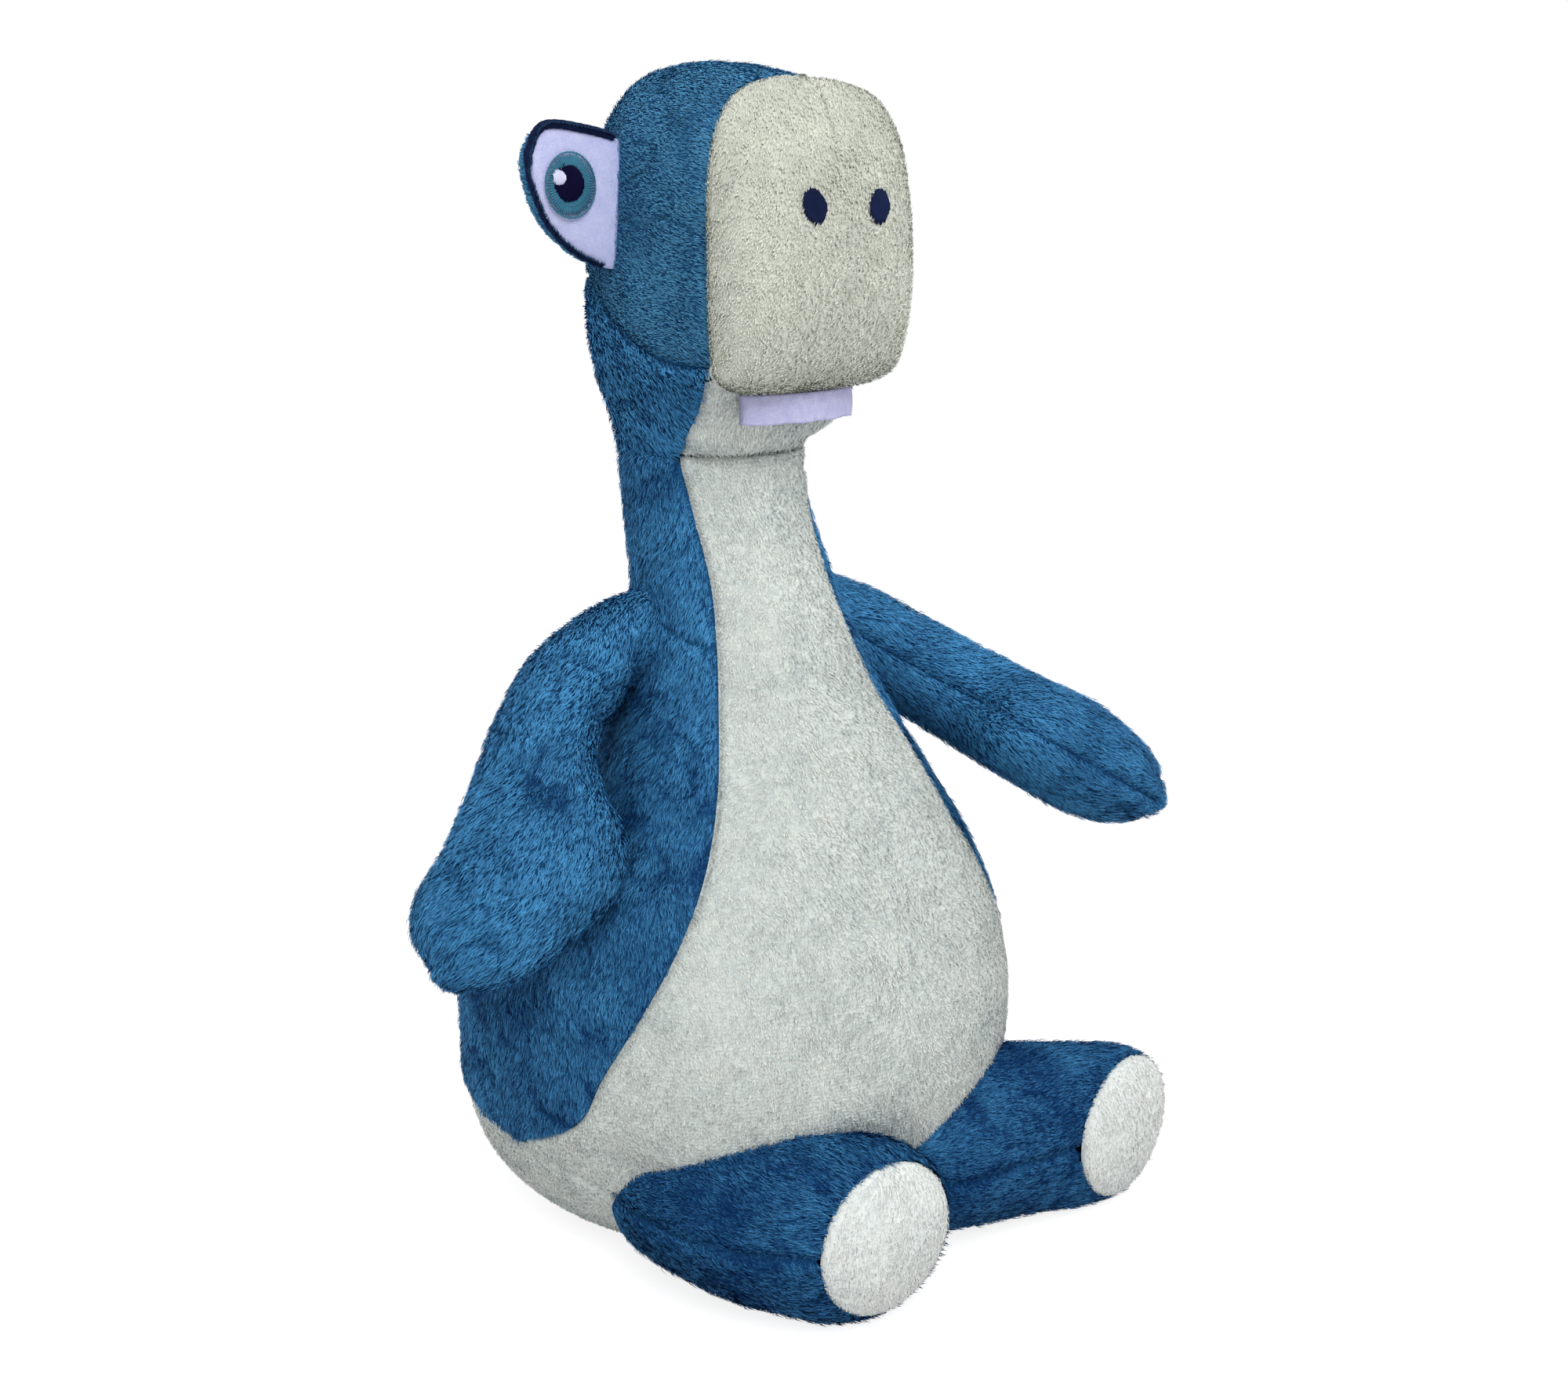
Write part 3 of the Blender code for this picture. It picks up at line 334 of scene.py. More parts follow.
def sole(side):
    """Rows 0 to 1 run from the rim to the middle of the dome."""
    x, y, height, facing = LEGS[side][-1][:4]
    way = math.radians(facing)
    ahead = np.array([math.sin(way), -math.cos(way), 0])
    aside = np.array([math.cos(way), math.sin(way), 0])
    centre = np.array([x, y, height])

    def surface(rows, angles):
        turn = np.radians(angles)
        open_ = np.radians(90 * (1 - rows))
        reach = (SOLE_RADIUS * np.sin(open_))[..., None]
        rise = (SOLE_DOME * np.cos(open_))[..., None]
        spoke = np.cos(turn)[..., None] * aside + np.sin(turn)[..., None] * np.array([0, 0, 1])
        return centre + ahead * (SOLE_GAP + rise) + spoke * reach
    return surface


def tail(rows, angles):
    values = smooth(TAIL, rows)
    ahead = smooth(TAIL, rows + 0.1)[..., :3] - smooth(TAIL, rows - 0.1)[..., :3]
    ahead = unit(ahead * np.array([1, 1, 0]))
    aside = np.stack([ahead[..., 1], -ahead[..., 0], 0 * ahead[..., 0]], axis=-1)
    turn = np.radians(angles)[..., None]
    upright = np.array([0, 0, 1]) * values[..., 3:] * np.cos(turn)
    return values[..., :3] + aside * values[..., 3:] * np.sin(turn) + upright


TRUNK_FINE = smooth(TRUNK, np.linspace(0, CROWN_ROW, 400))


def depth_in_trunk(points):
    """How far inside the torso a point lies."""
    half = np.interp(points[..., 2], TRUNK_FINE[:, 0], TRUNK_FINE[:, 1])
    centre = np.interp(points[..., 2], TRUNK_FINE[:, 0], TRUNK_FINE[:, 2])
    return half - np.hypot(points[..., 0], points[..., 1] - centre)


# ================ meshes
def mesh_of(name, points, faces, slots=None, normals=None):
    """A mesh of faces given as (count, sides) arrays of point numbers."""
    mesh = bpy.data.meshes.new(name)
    mesh.vertices.add(len(points))
    mesh.vertices.foreach_set("co", np.asarray(points, np.float32).ravel())
    loops = np.concatenate([group.ravel() for group in faces])
    sides = np.concatenate([np.full(len(group), group.shape[1]) for group in faces])
    mesh.loops.add(len(loops))
    mesh.loops.foreach_set("vertex_index", loops.astype(np.int32))
    mesh.polygons.add(len(sides))
    starts = np.concatenate([[0], np.cumsum(sides)[:-1]])
    mesh.polygons.foreach_set("loop_start", starts.astype(np.int32))
    if slots is not None:
        mesh.polygons.foreach_set("material_index", slots.astype(np.int32))
    mesh.polygons.foreach_set("use_smooth", np.ones(len(sides), bool))
    mesh.update(calc_edges=True)
    if normals is not None:
        mesh.normals_split_custom_set_from_vertices(np.asarray(normals, np.float32))
    return mesh


def new_object(name, mesh, finishes):
    made = bpy.data.objects.new(name, mesh)
    bpy.context.scene.collection.objects.link(made)
    for finish in finishes:
        mesh.materials.append(finish)
    return made


def grid_faces(index):
    """Four-sided faces between neighbours in a grid of point numbers."""
    corners = (index[:-1, :-1], index[:-1, 1:], index[1:, 1:], index[1:, :-1])
    return np.stack(corners, axis=-1).reshape(-1, 4)


def shell_mesh(name, outer, inner, shading=None):
    """A closed shell: two grids of the same size, and the edges between them."""
    count = outer.shape[0] * outer.shape[1]
    index = np.arange(count).reshape(outer.shape[:2])
    border = np.concatenate([index[0], index[1:, -1], index[-1, -2::-1], index[-2:0:-1, 0]])
    after = np.roll(border, -1)
    faces = [grid_faces(index), grid_faces(index + count)[:, ::-1],
             np.stack([border + count, after + count, after, border], axis=-1)]
    points = np.concatenate([outer.reshape(-1, 3), inner.reshape(-1, 3)])
    return mesh_of(name, points, faces, normals=shading)


def skin_mesh(name, grid, normals):
    """A panel's fabric, with its outer face on the grid."""
    shading = np.concatenate([normals.reshape(-1, 3), -normals.reshape(-1, 3)])
    return shell_mesh(name, grid, grid - normals * SKIN, shading)


def normals_of(grid):
    crossed = np.cross(np.gradient(grid, axis=1), np.gradient(grid, axis=0))
    normals = unit(crossed)
    weak = np.linalg.norm(crossed, axis=-1) < 1e-12
    if weak.any():
        normals[weak] = unit(normals[~weak].mean(axis=0))
        for row, inner in ((0, 1), (-1, -2)):
            if weak[row].any():
                normals[row] = unit(normals[inner].mean(axis=0))
    return normals


def rim_distances(grid):
    """How far each point is from the first and last column, and the first and last row."""
    across = np.linalg.norm(np.diff(grid, axis=1), axis=2)
    left = np.concatenate([np.zeros((len(grid), 1)), np.cumsum(across, axis=1)], axis=1)
    up = np.linalg.norm(np.diff(grid, axis=0), axis=2)
    low = np.concatenate([np.zeros((1, grid.shape[1])), np.cumsum(up, axis=0)], axis=0)
    return np.stack([left, left[:, -1:] - left, low, low[-1:] - low], axis=-1)


def rounded_tip(grid, rise, target):
    """Rows that close a form beyond its last row."""
    last = grid[-1]
    goal = target(last)
    out = unit((last - grid[-3]).mean(axis=0))
    turns = np.linspace(0, math.pi / 2, TIP_ROWS + 1)[1:]
    extra = [goal + (last - goal) * math.cos(turn) + out * rise * math.sin(turn) for turn in turns]
    return np.concatenate([grid, np.array(extra)])


def to_middle(last):
    return np.broadcast_to((last[0] + last[-1]) / 2, last.shape)


def to_centre_line(last):
    return last * np.array([0, 1, 1])


# ================ materials
def add_node(tree, kind, inputs=(), **settings):
    """A new node; its inputs are given as values, or as the outputs of other nodes."""
    node = tree.nodes.new("ShaderNode" + kind)
    for key, value in settings.items():
        setattr(node, key, value)
    for key, value in dict(inputs).items():
        if isinstance(value, bpy.types.NodeSocket):
            tree.links.new(value, node.inputs[key])
        else:
            node.inputs[key].default_value = value
    return node


def node_material(name, roughness, sheen, tint):
    finish = bpy.data.materials.new(name)
    finish.use_nodes = True
    shader = finish.node_tree.nodes["Principled BSDF"]
    looks = {"Roughness": roughness, "Specular IOR Level": 0.08, "Sheen Weight": sheen,
             "Sheen Roughness": 0.45, "Sheen Tint": (*tint, 1)}
    for key, value in looks.items():
        shader.inputs[key].default_value = value
    return finish, shader


def cloth(name, dark, light, patch=0.012, grain=0.0006, bump=0.6, sheen=0.15, rib=0.0):
    """Backing fabric: two tones in patches, a fine grain, and ribs if it has them."""
    finish, shader = node_material(name, 0.9, sheen, light)
    tree = finish.node_tree
    place = add_node(tree, "TexCoord").outputs["Object"]
    blots = {"Vector": place, "Scale": 1 / patch, "Detail": 6, "Roughness": 0.65}
    patches = add_node(tree, "TexNoise", blots)
    fine = add_node(tree, "TexNoise", {"Vector": place, "Scale": 1 / grain, "Detail": 3}).outputs["Fac"]
    half = add_node(tree, "Math", {0: patches.outputs["Fac"], 1: 0.5}, operation="MULTIPLY")
    both = add_node(tree, "Math", {0: fine, 1: 0.5, 2: half.outputs["Value"]}, operation="MULTIPLY_ADD")
    relief = both.outputs["Value"]
    tones = add_node(tree, "ValToRGB", {"Fac": relief})
    for element, position, tone in zip(tones.color_ramp.elements, (0.36, 0.62), (dark, light)):
        element.position = position
        element.color = (*tone, 1)
    if rib:
        waves = {"Vector": place, "Scale": 1 / rib / math.pi, "Distortion": 6, "Detail": 3,
                 "Detail Scale": 2}
        ribs = add_node(tree, "TexWave", waves, bands_direction="Z")
        added = add_node(tree, "Math", {0: ribs.outputs["Fac"], 1: 0.5, 2: relief}, operation="MULTIPLY_ADD")
        relief = added.outputs["Value"]
    raised = add_node(tree, "Bump", {"Strength": bump, "Distance": 0.0006, "Height": relief})
    rough = add_node(tree, "MapRange", {"Value": fine, "To Min": 0.82, "To Max": 1.0})
    tree.links.new(tones.outputs["Color"], shader.inputs["Base Color"])
    tree.links.new(raised.outputs["Normal"], shader.inputs["Normal"])
    tree.links.new(rough.outputs["Result"], shader.inputs["Roughness"])
    return finish


def toned_strands(name, dark, light, sheen=0.08):
    """Pile strands in a row of tones, darkest to lightest, for their dye and for painted shade and light."""
    finishes = []
    for step in range(SHADES):
        share = step / (SHADES - 1)
        tone = [a + (b - a) * share for a, b in zip(dark, light)]
        finish, shader = node_material("%s_%d" % (name, step + 1), 0.75, sheen, tone)
        shader.inputs["Base Color"].default_value = (*tone, 1)
        finishes.append(finish)
    return finishes


# Each pile backing is darker than its pile: painted shade beneath the pile.
BLUE_CLOTH = cloth("blue_pile_backing", (0.004, 0.030, 0.105), (0.018, 0.110, 0.260), patch=0.009, sheen=0.1)
HEAD_CLOTH = cloth(
    "blue_pile_head_backing", (0.006, 0.036, 0.110), (0.022, 0.120, 0.270), patch=0.009, sheen=0.1
)
CREAM_CLOTH = cloth("cream_pile_backing", (0.50, 0.56, 0.55), (0.74, 0.78, 0.72), patch=0.006, rib=0.0011)
MUZZLE_CLOTH = cloth("muzzle_pile_backing", (0.44, 0.46, 0.39), (0.64, 0.66, 0.57), patch=0.005)
SOLE_CLOTH = cloth("sole_pile_backing", (0.66, 0.71, 0.70), (0.84, 0.87, 0.83), patch=0.006)
EYE_CLOTH = cloth(
    "eye_cloth_weave", (0.46, 0.48, 0.76), (0.62, 0.63, 0.87), patch=0.004, grain=0.0004, sheen=0.1
)
FELT = cloth(
    "felt_fibres", (0.44, 0.43, 0.70), (0.62, 0.61, 0.84), patch=0.003, grain=0.0003, bump=0.9, sheen=0.25
)
THREAD_TONES = {
    "navy": ((0.004, 0.007, 0.030), (0.010, 0.020, 0.070)),
    "teal": ((0.025, 0.120, 0.200), (0.075, 0.250, 0.360)),
    "ink": ((0.002, 0.001, 0.014), (0.006, 0.005, 0.040)),
    "white": ((0.62, 0.62, 0.84), (0.82, 0.82, 0.95)),
}
THREADS = {
    tone: cloth(tone + "_embroidery", *ends, grain=0.0002, sheen=0.05) for tone, ends in THREAD_TONES.items()
}
BLUE_PILE = toned_strands("blue_pile_strand", (0.003, 0.036, 0.135), (0.080, 0.340, 0.660))
HEAD_PILE = toned_strands("blue_pile_head_strand", (0.005, 0.040, 0.125), (0.110, 0.380, 0.640))
CREAM_PILE = toned_strands("cream_pile_strand", (0.38, 0.44, 0.45), (0.86, 0.88, 0.82))
SOLE_PILE = toned_strands("sole_pile_strand", (0.72, 0.77, 0.76), (0.94, 0.95, 0.91))
MUZZLE_PILE = toned_strands("muzzle_pile_strand", (0.42, 0.44, 0.37), (0.80, 0.81, 0.71))
LASH_PILE = toned_strands("lash_pile_strand", (0.006, 0.012, 0.050), (0.030, 0.080, 0.170), sheen=0.05)


# ================ pile
# A style of pile: length, width and tuft size in mm, density in strands per square mm, lift off the
# cloth in degrees, and as shares how strands gather to their tuft, how ragged their lengths are, how
# far they swing sideways, how deep the ribs are and which tones they run between; on some panels those
# tones are set darker as painted shade. Its top_light says how much paler the pile grows, from which
# height and over which span: painted light from above.
NO_TOP_LIGHT = (0.0, 0.0, 1.0)
TORSO_TOP_LIGHT = (0.14, 0.135, 0.040)
NAPE_TOP_LIGHT = (0.14, 0.228, 0.025)
LONG = dict(length=3.0, width=0.36, density=3.6, tuft=2.5, gather=0.4, lift=20, ragged=0.3,
            tone=(0.30, 0.80), swing=0.65, rib=0.0, top_light=NO_TOP_LIGHT)
SHORT = dict(length=1.4, width=0.34, density=3.0, tuft=1.4, gather=0.28, lift=30, ragged=0.3,
             tone=(0.50, 1.00), swing=1.0, rib=0.14, top_light=NO_TOP_LIGHT)
LASHES = dict(LONG, length=1.3, width=0.26, density=14, tuft=0.9, gather=0.2, lift=48, tone=(0.2, 0.8))
COMBED_NEAR = 1.3 * MM   # pile this near a seam leans away from it
ROOT_DEPTH = 0.25 * MM   # of a strand in the cloth
RIB_PITCH = 0.00125
# Strand roots are darker, painted shade down in the pile, and tips paler, painted light.
ROOT_SHADE, TIP_LIGHT = 0.09, 0.11


def along_cloth(vectors, outwards):
    """Vectors without the part of them that leaves the cloth."""
    return vectors - outwards * np.sum(vectors * outwards, axis=-1, keepdims=True)


def turned(start, goal, angles):
    """Vectors turned from one way towards another."""
    return start * np.cos(angles)[:, None] + goal * np.sin(angles)[:, None]


def grooves(points):
    """1 along the wandering creases between locks of pile, and 0 away from them."""
    bent = points + 0.004 * noise(points, 0.009, 61)[..., None]
    wide = np.clip(1 - np.abs(noise(bent * np.array([1, 1, 1.5]), 0.012, 62)) / 0.13, 0, 1)
    broken = ease(0.5 + 0.9 * noise(points, 0.021, 63))
    return wide * broken


def pile_roots(source, grid, fields, density, skip):
    """Places of strands on a grid, the fields' values there, and the ways across and up the grid."""
    corners = [grid[:-1, :-1], grid[:-1, 1:], grid[1:, 1:], grid[1:, :-1]]
    areas = np.linalg.norm(np.cross(corners[2] - corners[0], corners[3] - corners[1]), axis=-1) / 2
    count = int(min(areas.sum() * 1e6 * density, MOST_STRANDS))
    chosen = source.choice(areas.size, count, p=(areas / areas.sum()).ravel())
    row, column = np.divmod(chosen, areas.shape[1])
    across, up = source.random((2, count))
    shares = [(1 - up) * (1 - across), (1 - up) * across, up * across, up * (1 - across)]
    steps = [(0, 0), (0, 1), (1, 1), (1, 0)]

    def taken(field):
        return sum(share[:, None] * field[row + a, column + b] for share, (a, b) in zip(shares, steps))

    found = [taken(field) for field in (grid, *fields)]
    found.append(unit(grid[row, column + 1] - grid[row, column]))
    found.append(unit(grid[row + 1, column] - grid[row, column]))
    if skip is not None:
        kept = ~skip(found[0])
        found = [values[kept] for values in found]
    return found


def strand_tones(source, roots, own, groove, edge, style):
    """Tone from 0 to 1 per strand: dye patches, tufts and ribs, and painted shade and painted light."""
    low, high = style["tone"]
    patches = 0.5 + 0.42 * noise(roots, 0.013, 51) + 0.22 * noise(roots, 0.0045, 52)
    tone = low + (high - low) * (patches + 0.35 * (own - 0.5))
    # Darker in the creases between locks and near the seams: painted shade.
    tone = tone + 0.07 * source.standard_normal(len(roots)) - 0.42 * groove - 0.2 * (1 - edge)
    # Paler above a height: painted light from above.
    paler, height, span = style["top_light"]
    tone = tone + paler * ease((roots[:, 2] - height) / span)
    warp = roots[:, 2] + 0.0012 * noise(roots, 0.012, 55)
    streak = noise(roots * np.array([1, 1, 0.25]), 0.0016, 56)
    return tone + style["rib"] * (np.sin(warp / RIB_PITCH * 2 * math.pi) + streak)


def pile_mesh(name, grid, normals, rims, style, lay, seed, seams, skip=None):
    """Strands of pile: each a narrow leaf that leaves the cloth, bends over and ends in a point."""
    source = np.random.default_rng(seed)
    roots, outwards, rim, side, climb = pile_roots(source, grid, (normals, rims), style["density"], skip)
    outwards = unit(outwards)
    count = len(roots)
    flow = lay(roots) if callable(lay) else np.broadcast_to(np.array(lay, float), roots.shape)
    flow = unit(along_cloth(flow, outwards))
    swing = 34 * noise(roots, 0.020, 11) + 24 * noise(roots, 0.007, 12) + 14 * source.standard_normal(count)
    flow = turned(flow, np.cross(outwards, flow), np.radians(swing * style["swing"]))
    edge = np.full(count, 1.0)
    for index, (inward, depth) in enumerate(zip((side, -side, climb, -climb), seams)):
        if depth:
            near = np.exp(-rim[:, index] / COMBED_NEAR)
            flow = flow + inward * (1.1 * near)[:, None]
            edge = edge * (1 - 0.45 * near)
    flow = unit(flow)
    groove = grooves(roots)
    length = style["length"] * MM * edge * (1 - 0.35 * groove)
    length = length * (1 + style["ragged"] * (source.random(count) * 2 - 1))
    lift = np.radians(style["lift"] + 10 * noise(roots, 0.008, 31) + 9 * source.standard_normal(count))
    lift = np.clip(lift, 0.08, 1.4)
    middle, own = tufts(roots, style["tuft"] * MM, 41)
    pull = along_cloth(middle - roots, outwards) * style["gather"]
    reach = length[:, None]
    start = roots - outwards * ROOT_DEPTH
    bend = roots + turned(flow, outwards, lift * 1.3) * reach * 0.5 + pull * 0.4
    tip = roots + turned(flow, outwards, lift * 0.7) * reach + pull
    roll = np.radians(24) * source.standard_normal(count)
    breadth = unit(turned(np.cross(flow, outwards), outwards, roll))
    wide = breadth * style["width"] * MM * (0.7 + 0.6 * source.random(count))[:, None] / 2
    points = [start - wide, start + wide, bend + wide * 0.8, bend - wide * 0.8, tip]
    points = np.stack(points, axis=1).reshape(-1, 3)
    points[:, 2] = np.maximum(points[:, 2], OVER_FLOOR)
    first = np.arange(count)[:, None] * 5
    faces = [first + np.array([[0, 1, 2, 3]]), first + np.array([[3, 2, 4]])]
    tone = strand_tones(source, roots, own, groove, edge, style)
    # Root quads darker and tip triangles paler: painted shade in the pile and painted light on the tips.
    tone = np.concatenate([tone - ROOT_SHADE, tone + TIP_LIGHT])
    slots = np.clip(tone * SHADES, 0, SHADES - 0.01).astype(int)
    shading = unit(outwards + flow * 0.25 + 0.17 * source.standard_normal((count, 3)))
    return mesh_of(name, points, faces, slots, np.repeat(shading, 5, axis=0))


# ================ sewn panels
def blue_relief(points, strength):
    """Lumps of the filling, and creases in the pile."""
    lumps = 1.0 * noise(points, 0.034, 71) + 0.45 * noise(points, 0.014, 72)
    return (lumps - 0.8 * grooves(points)) * strength * MM


def cream_relief(points, strength):
    return (0.8 * noise(points, 0.030, 81) + 0.20 * noise(points, 0.008, 82)) * strength * MM


# backing, strands, style, relief, slot
BLUE = (BLUE_CLOTH, BLUE_PILE, LONG, blue_relief, "blue_pile")
BLUE_HEAD = (HEAD_CLOTH, HEAD_PILE, LONG, blue_relief, "blue_pile")
CREAM = (CREAM_CLOTH, CREAM_PILE, SHORT, cream_relief, "cream_pile")
CREAM_MUZZLE = (MUZZLE_CLOTH, MUZZLE_PILE, SHORT, cream_relief, "cream_pile")
CREAM_SOLE = (SOLE_CLOTH, SOLE_PILE, SHORT, cream_relief, "cream_pile")

SEAM_CALM = 4 * MM                 # lumps die out this near a seam
SEAM_DEPTH, SEAM_WIDTH = 1.5 * MM, 1.5 * MM
TUCK_TURNS = (0.5, 1.0, 1.57)      # of an edge that turns in, in radians
TUCK_LENGTH = 0.9 * MM
DOWN = (0.0, 0.0, -1.0)


def turned_in(grid, rims, normals, tuck):
    """Rows added to a grid where its lower or upper edge turns in."""
    for end, inner, depth in zip((0, -1), (1, -2), tuck):
        if not depth:
            continue
        beyond = unit(grid[end] - grid[inner])
        inwards = -normals[end] * depth * MM
        added = np.array([grid[end] + inwards * (1 - math.cos(turn)) + beyond * TUCK_LENGTH * math.sin(turn)
                          for turn in TUCK_TURNS])
        more = np.repeat(rims[end][None], len(TUCK_TURNS), axis=0)
        if end == 0:
            grid = np.concatenate([added[::-1], grid])
            rims = np.concatenate([more, rims])
        else:
            grid = np.concatenate([grid, added])
            rims = np.concatenate([rims, more])
    return grid, rims


def panel(name, surface, rows, angles, counts, kind, ride, nodes, lay, seams, seed, tip=None, rise=0.0,
          relief=None, skip=None, pile=None, strength=1.0, tuck=(0, 0)):
    """One sewn panel: its padded skin and the pile that stands on it.

    tuck says how many millimetres its lower and upper edges turn in.
    """
    backing, strands, style, lumps, slot = kind
    up = np.linspace(0, 1, counts[0] + 1)[:, None]
    across = np.linspace(0, 1, counts[1] + 1)[None, :]
    low, high = rows(across)
    at_rows = low + (high - low) * up + 0 * across
    start, end = angles(at_rows)
    grid = surface(at_rows, start + (end - start) * across)
    if tip:
        grid = rounded_tip(grid, rise, tip)
    normals = normals_of(grid)
    rims = rim_distances(grid)
    height = lumps(grid, strength)
    for index, depth in enumerate(seams):
        if depth:
            height = height * (1 - 0.8 * np.exp(-(rims[..., index] / SEAM_CALM) ** 2))
            height = height - depth * SEAM_DEPTH * np.exp(-(rims[..., index] / SEAM_WIDTH) ** 2)
    if relief:
        height = height + relief(grid)
    grid = grid + normals * height[..., None]
    grid[..., 2] = np.maximum(grid[..., 2], OVER_FLOOR)
    grid, rims = turned_in(grid, rims, normals_of(grid), tuck)
    normals = normals_of(grid)
    skin = new_object(name, skin_mesh(name, grid, normals), [backing])
    style = dict(style, **(pile or {}))
    hair = pile_mesh(name + "_pile", grid, normals, rims, style, lay, seed, seams, skip)
    for piece in (skin, new_object(name + "_pile", hair, strands)):
        ride(piece)
    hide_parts(*nodes)


def between(low, high):
    """The same two rows for every column, or the same two angles for every row."""
    return lambda places: (low + 0 * places, high + 0 * places)


def all_rows(table):
    return between(0.0, len(table) - 1.0)


def riding(body):
    return lambda piece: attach(piece, body)


def blending(start, end):
    return lambda piece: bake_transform(piece)


# ================ torso
def hollow(centre, reach, depth):
    """A soft dent or, with a negative depth, a swelling."""
    def relief(points):
        away = (points - np.array(centre)) / np.array(reach)
        return -depth * MM * np.exp(-np.sum(away * away, axis=-1))
    return relief


def belly_relief(points):
    dent = hollow((-0.075, -0.034, 0.040), (0.012, 0.012, 0.010), 3.0)(points)
    return dent + hollow((0.000, -0.070, 0.062), (0.020, 0.020, 0.020), -1.5)(points)


def left_edges(rows):
    return belly_edges(rows)[1], back_edges(rows)[0]


def right_edges(rows):
    return back_edges(rows)[1], 360 + belly_edges(rows)[0]


TORSO = riding("torso")
panel("belly", trunk, lambda s: (hem_row(2 * s - 1), SLEEVE_ROW + 0 * s), belly_edges, (150, 150), CREAM,
      TORSO, ("belly_panel", "torso_stuffing"), DOWN, (1, 1, 0.7, 0), 101, relief=belly_relief)
# The side and back panels' pile runs in darker tones, painted shade, and pales towards the top, painted
# light.
for label, node, edges, wide in (("side_left", "side_panel_left", left_edges, 60),
                                 ("back", "back_panel", back_edges, 150),
                                 ("side_right", "side_panel_right", right_edges, 60)):
    panel(label, trunk, between(UNDERSIDE_ROW, SLEEVE_ROW), edges, (130, wide), BLUE, TORSO, (node,), DOWN,
          (1, 1, 1, 0), 110 + wide + len(label), pile=dict(tone=(0.16, 0.66), top_light=TORSO_TOP_LIGHT))


def base_surface(rows, angles):
    """The underside, from its middle at row -1 out to row 1 just under the hem."""
    hem = base_hem(angles) - 0.06
    return trunk(np.where(rows > 0, rows * hem, rows), angles)


def inwards_below(points):
    spoke = unit(points * np.array([1, 1, 0]) + 1e-9)
    return np.array([0, 0, -1]) - 0.6 * spoke


panel("base", base_surface, between(BASE_START, 1.0), between(0, 360), (60, 220), CREAM, TORSO,
      ("base_panel",), inwards_below, (0, 0, 0, 1), 131, strength=0.4)


# ================ neck
DART_HEIGHT, DART_SLOPE = 0.1753, 0.326       # at the seam's front end, and its rise towards the back
DART_FRONT, DART_WIDTH = -0.0201, 0.0014


def over_dart(points):
    """Height over the short seam from the top of the arm to the front seam, and 1 between its ends."""
    line = DART_HEIGHT + (points[..., 1] - DART_FRONT) * DART_SLOPE
    ends = ease((points[..., 1] + 0.0235) / 0.002) * ease((-0.003 - points[..., 1]) / 0.003)
    return points[..., 2] - line, ends


def shoulder_dart(points):
    over, ends = over_dart(points)
    return -SEAM_DEPTH * np.exp(-(over / DART_WIDTH) ** 2) * ends


def on_dart(points):
    """Where the pile is caught in that seam."""
    over, ends = over_dart(points)
    return (over > -0.4 * MM) & (over < 1.7 * MM) & (ends > 0.5)


def throat_folds(points):
    """Where the chin folds onto the throat, the cloth creases across."""
    height = points[..., 2] + 0.003 * noise(points, 0.018, 5)
    folds = -1.3 * np.exp(-((height - 0.2272) / 0.0024) ** 2)
    folds = folds - 0.9 * np.exp(-((height - 0.2195) / 0.0022) ** 2) * ease(0.5 + noise(points, 0.015, 6))
    return (folds + 1.3 * np.exp(-((height - 0.2335) / 0.0034) ** 2)) * MM


def neck_left(rows):
    return belly_edges(rows)[1], 180 + 0 * rows


def neck_right(rows):
    return 180 + 0 * rows, 360 + belly_edges(rows)[0]


def neck_part(name, low, high, ride, nodes, seed, tuck):
    """The throat and the two sides of the neck between two rows of the trunk."""
    spans = (("throat", CREAM, belly_edges, 60, (1, 1, 0, 0), throat_folds, None),
             ("left", BLUE, neck_left, 70, (1, 0, 0, 0), shoulder_dart, on_dart),
             ("right", BLUE, neck_right, 70, (0, 1, 0, 0), shoulder_dart, on_dart))
    for index, (label, kind, edges, wide, seams, relief, skip) in enumerate(spans):
        panel(name + "_" + label, trunk, between(low, high), edges, (34, wide), kind, ride, (nodes[index],),
              DOWN, seams, seed + index, strength=0.7, relief=relief, tuck=tuck, skip=skip)


def trunk_middle(row):
    return 0, 0, float(smooth(TRUNK, row)[0])


neck_part("sleeve", SLEEVE_ROW, TURN_ROW,
          blending(trunk_middle(SLEEVE_ROW), trunk_middle(TURN_ROW)),
          ("throat_panel", "neck_panel_left", "neck_panel_right"), 141, (0, 0))
neck_part("neck", TURN_ROW, CROWN_ROW, blending(trunk_middle(TURN_ROW), (0, 0, HEAD_FOLD)),
          ("neck_stuffing",) * 3, 151, (0, 3))

# ================ head
HEAD_RIDE = riding("head")


def jaw_half(rows):
    """Half the jaw's angle, which opens to the cheek seam at its top."""
    return JAW_SEAM + (90.0 - JAW_SEAM) * ease((rows - MOUTH_ROW) / MOUTH_ROWS)


def face(rows, angles):
    """The head, with its front edges turned in under the muzzle round the mouth."""
    place = head(rows, angles)
    push = ease((rows - MOUTH_ROW) / MOUTH_ROWS) * (1 - ease((rows - 3.9) / 1.7))
    push = push * np.clip((98 - np.abs(angles)) / 8, 0, 1)
    place[..., 1] -= MOUTH_TUCK * push
    place[..., 0] *= 1 - 0.025 * push
    return place


def forwards(points):
    """Pile combed towards the muzzle, and down below the cheek."""
    down = 0.25 + 0.9 * ease((0.262 - points[:, 2]) / 0.02)
    return np.stack([0 * down, -1 + 0 * down, -down], axis=-1)


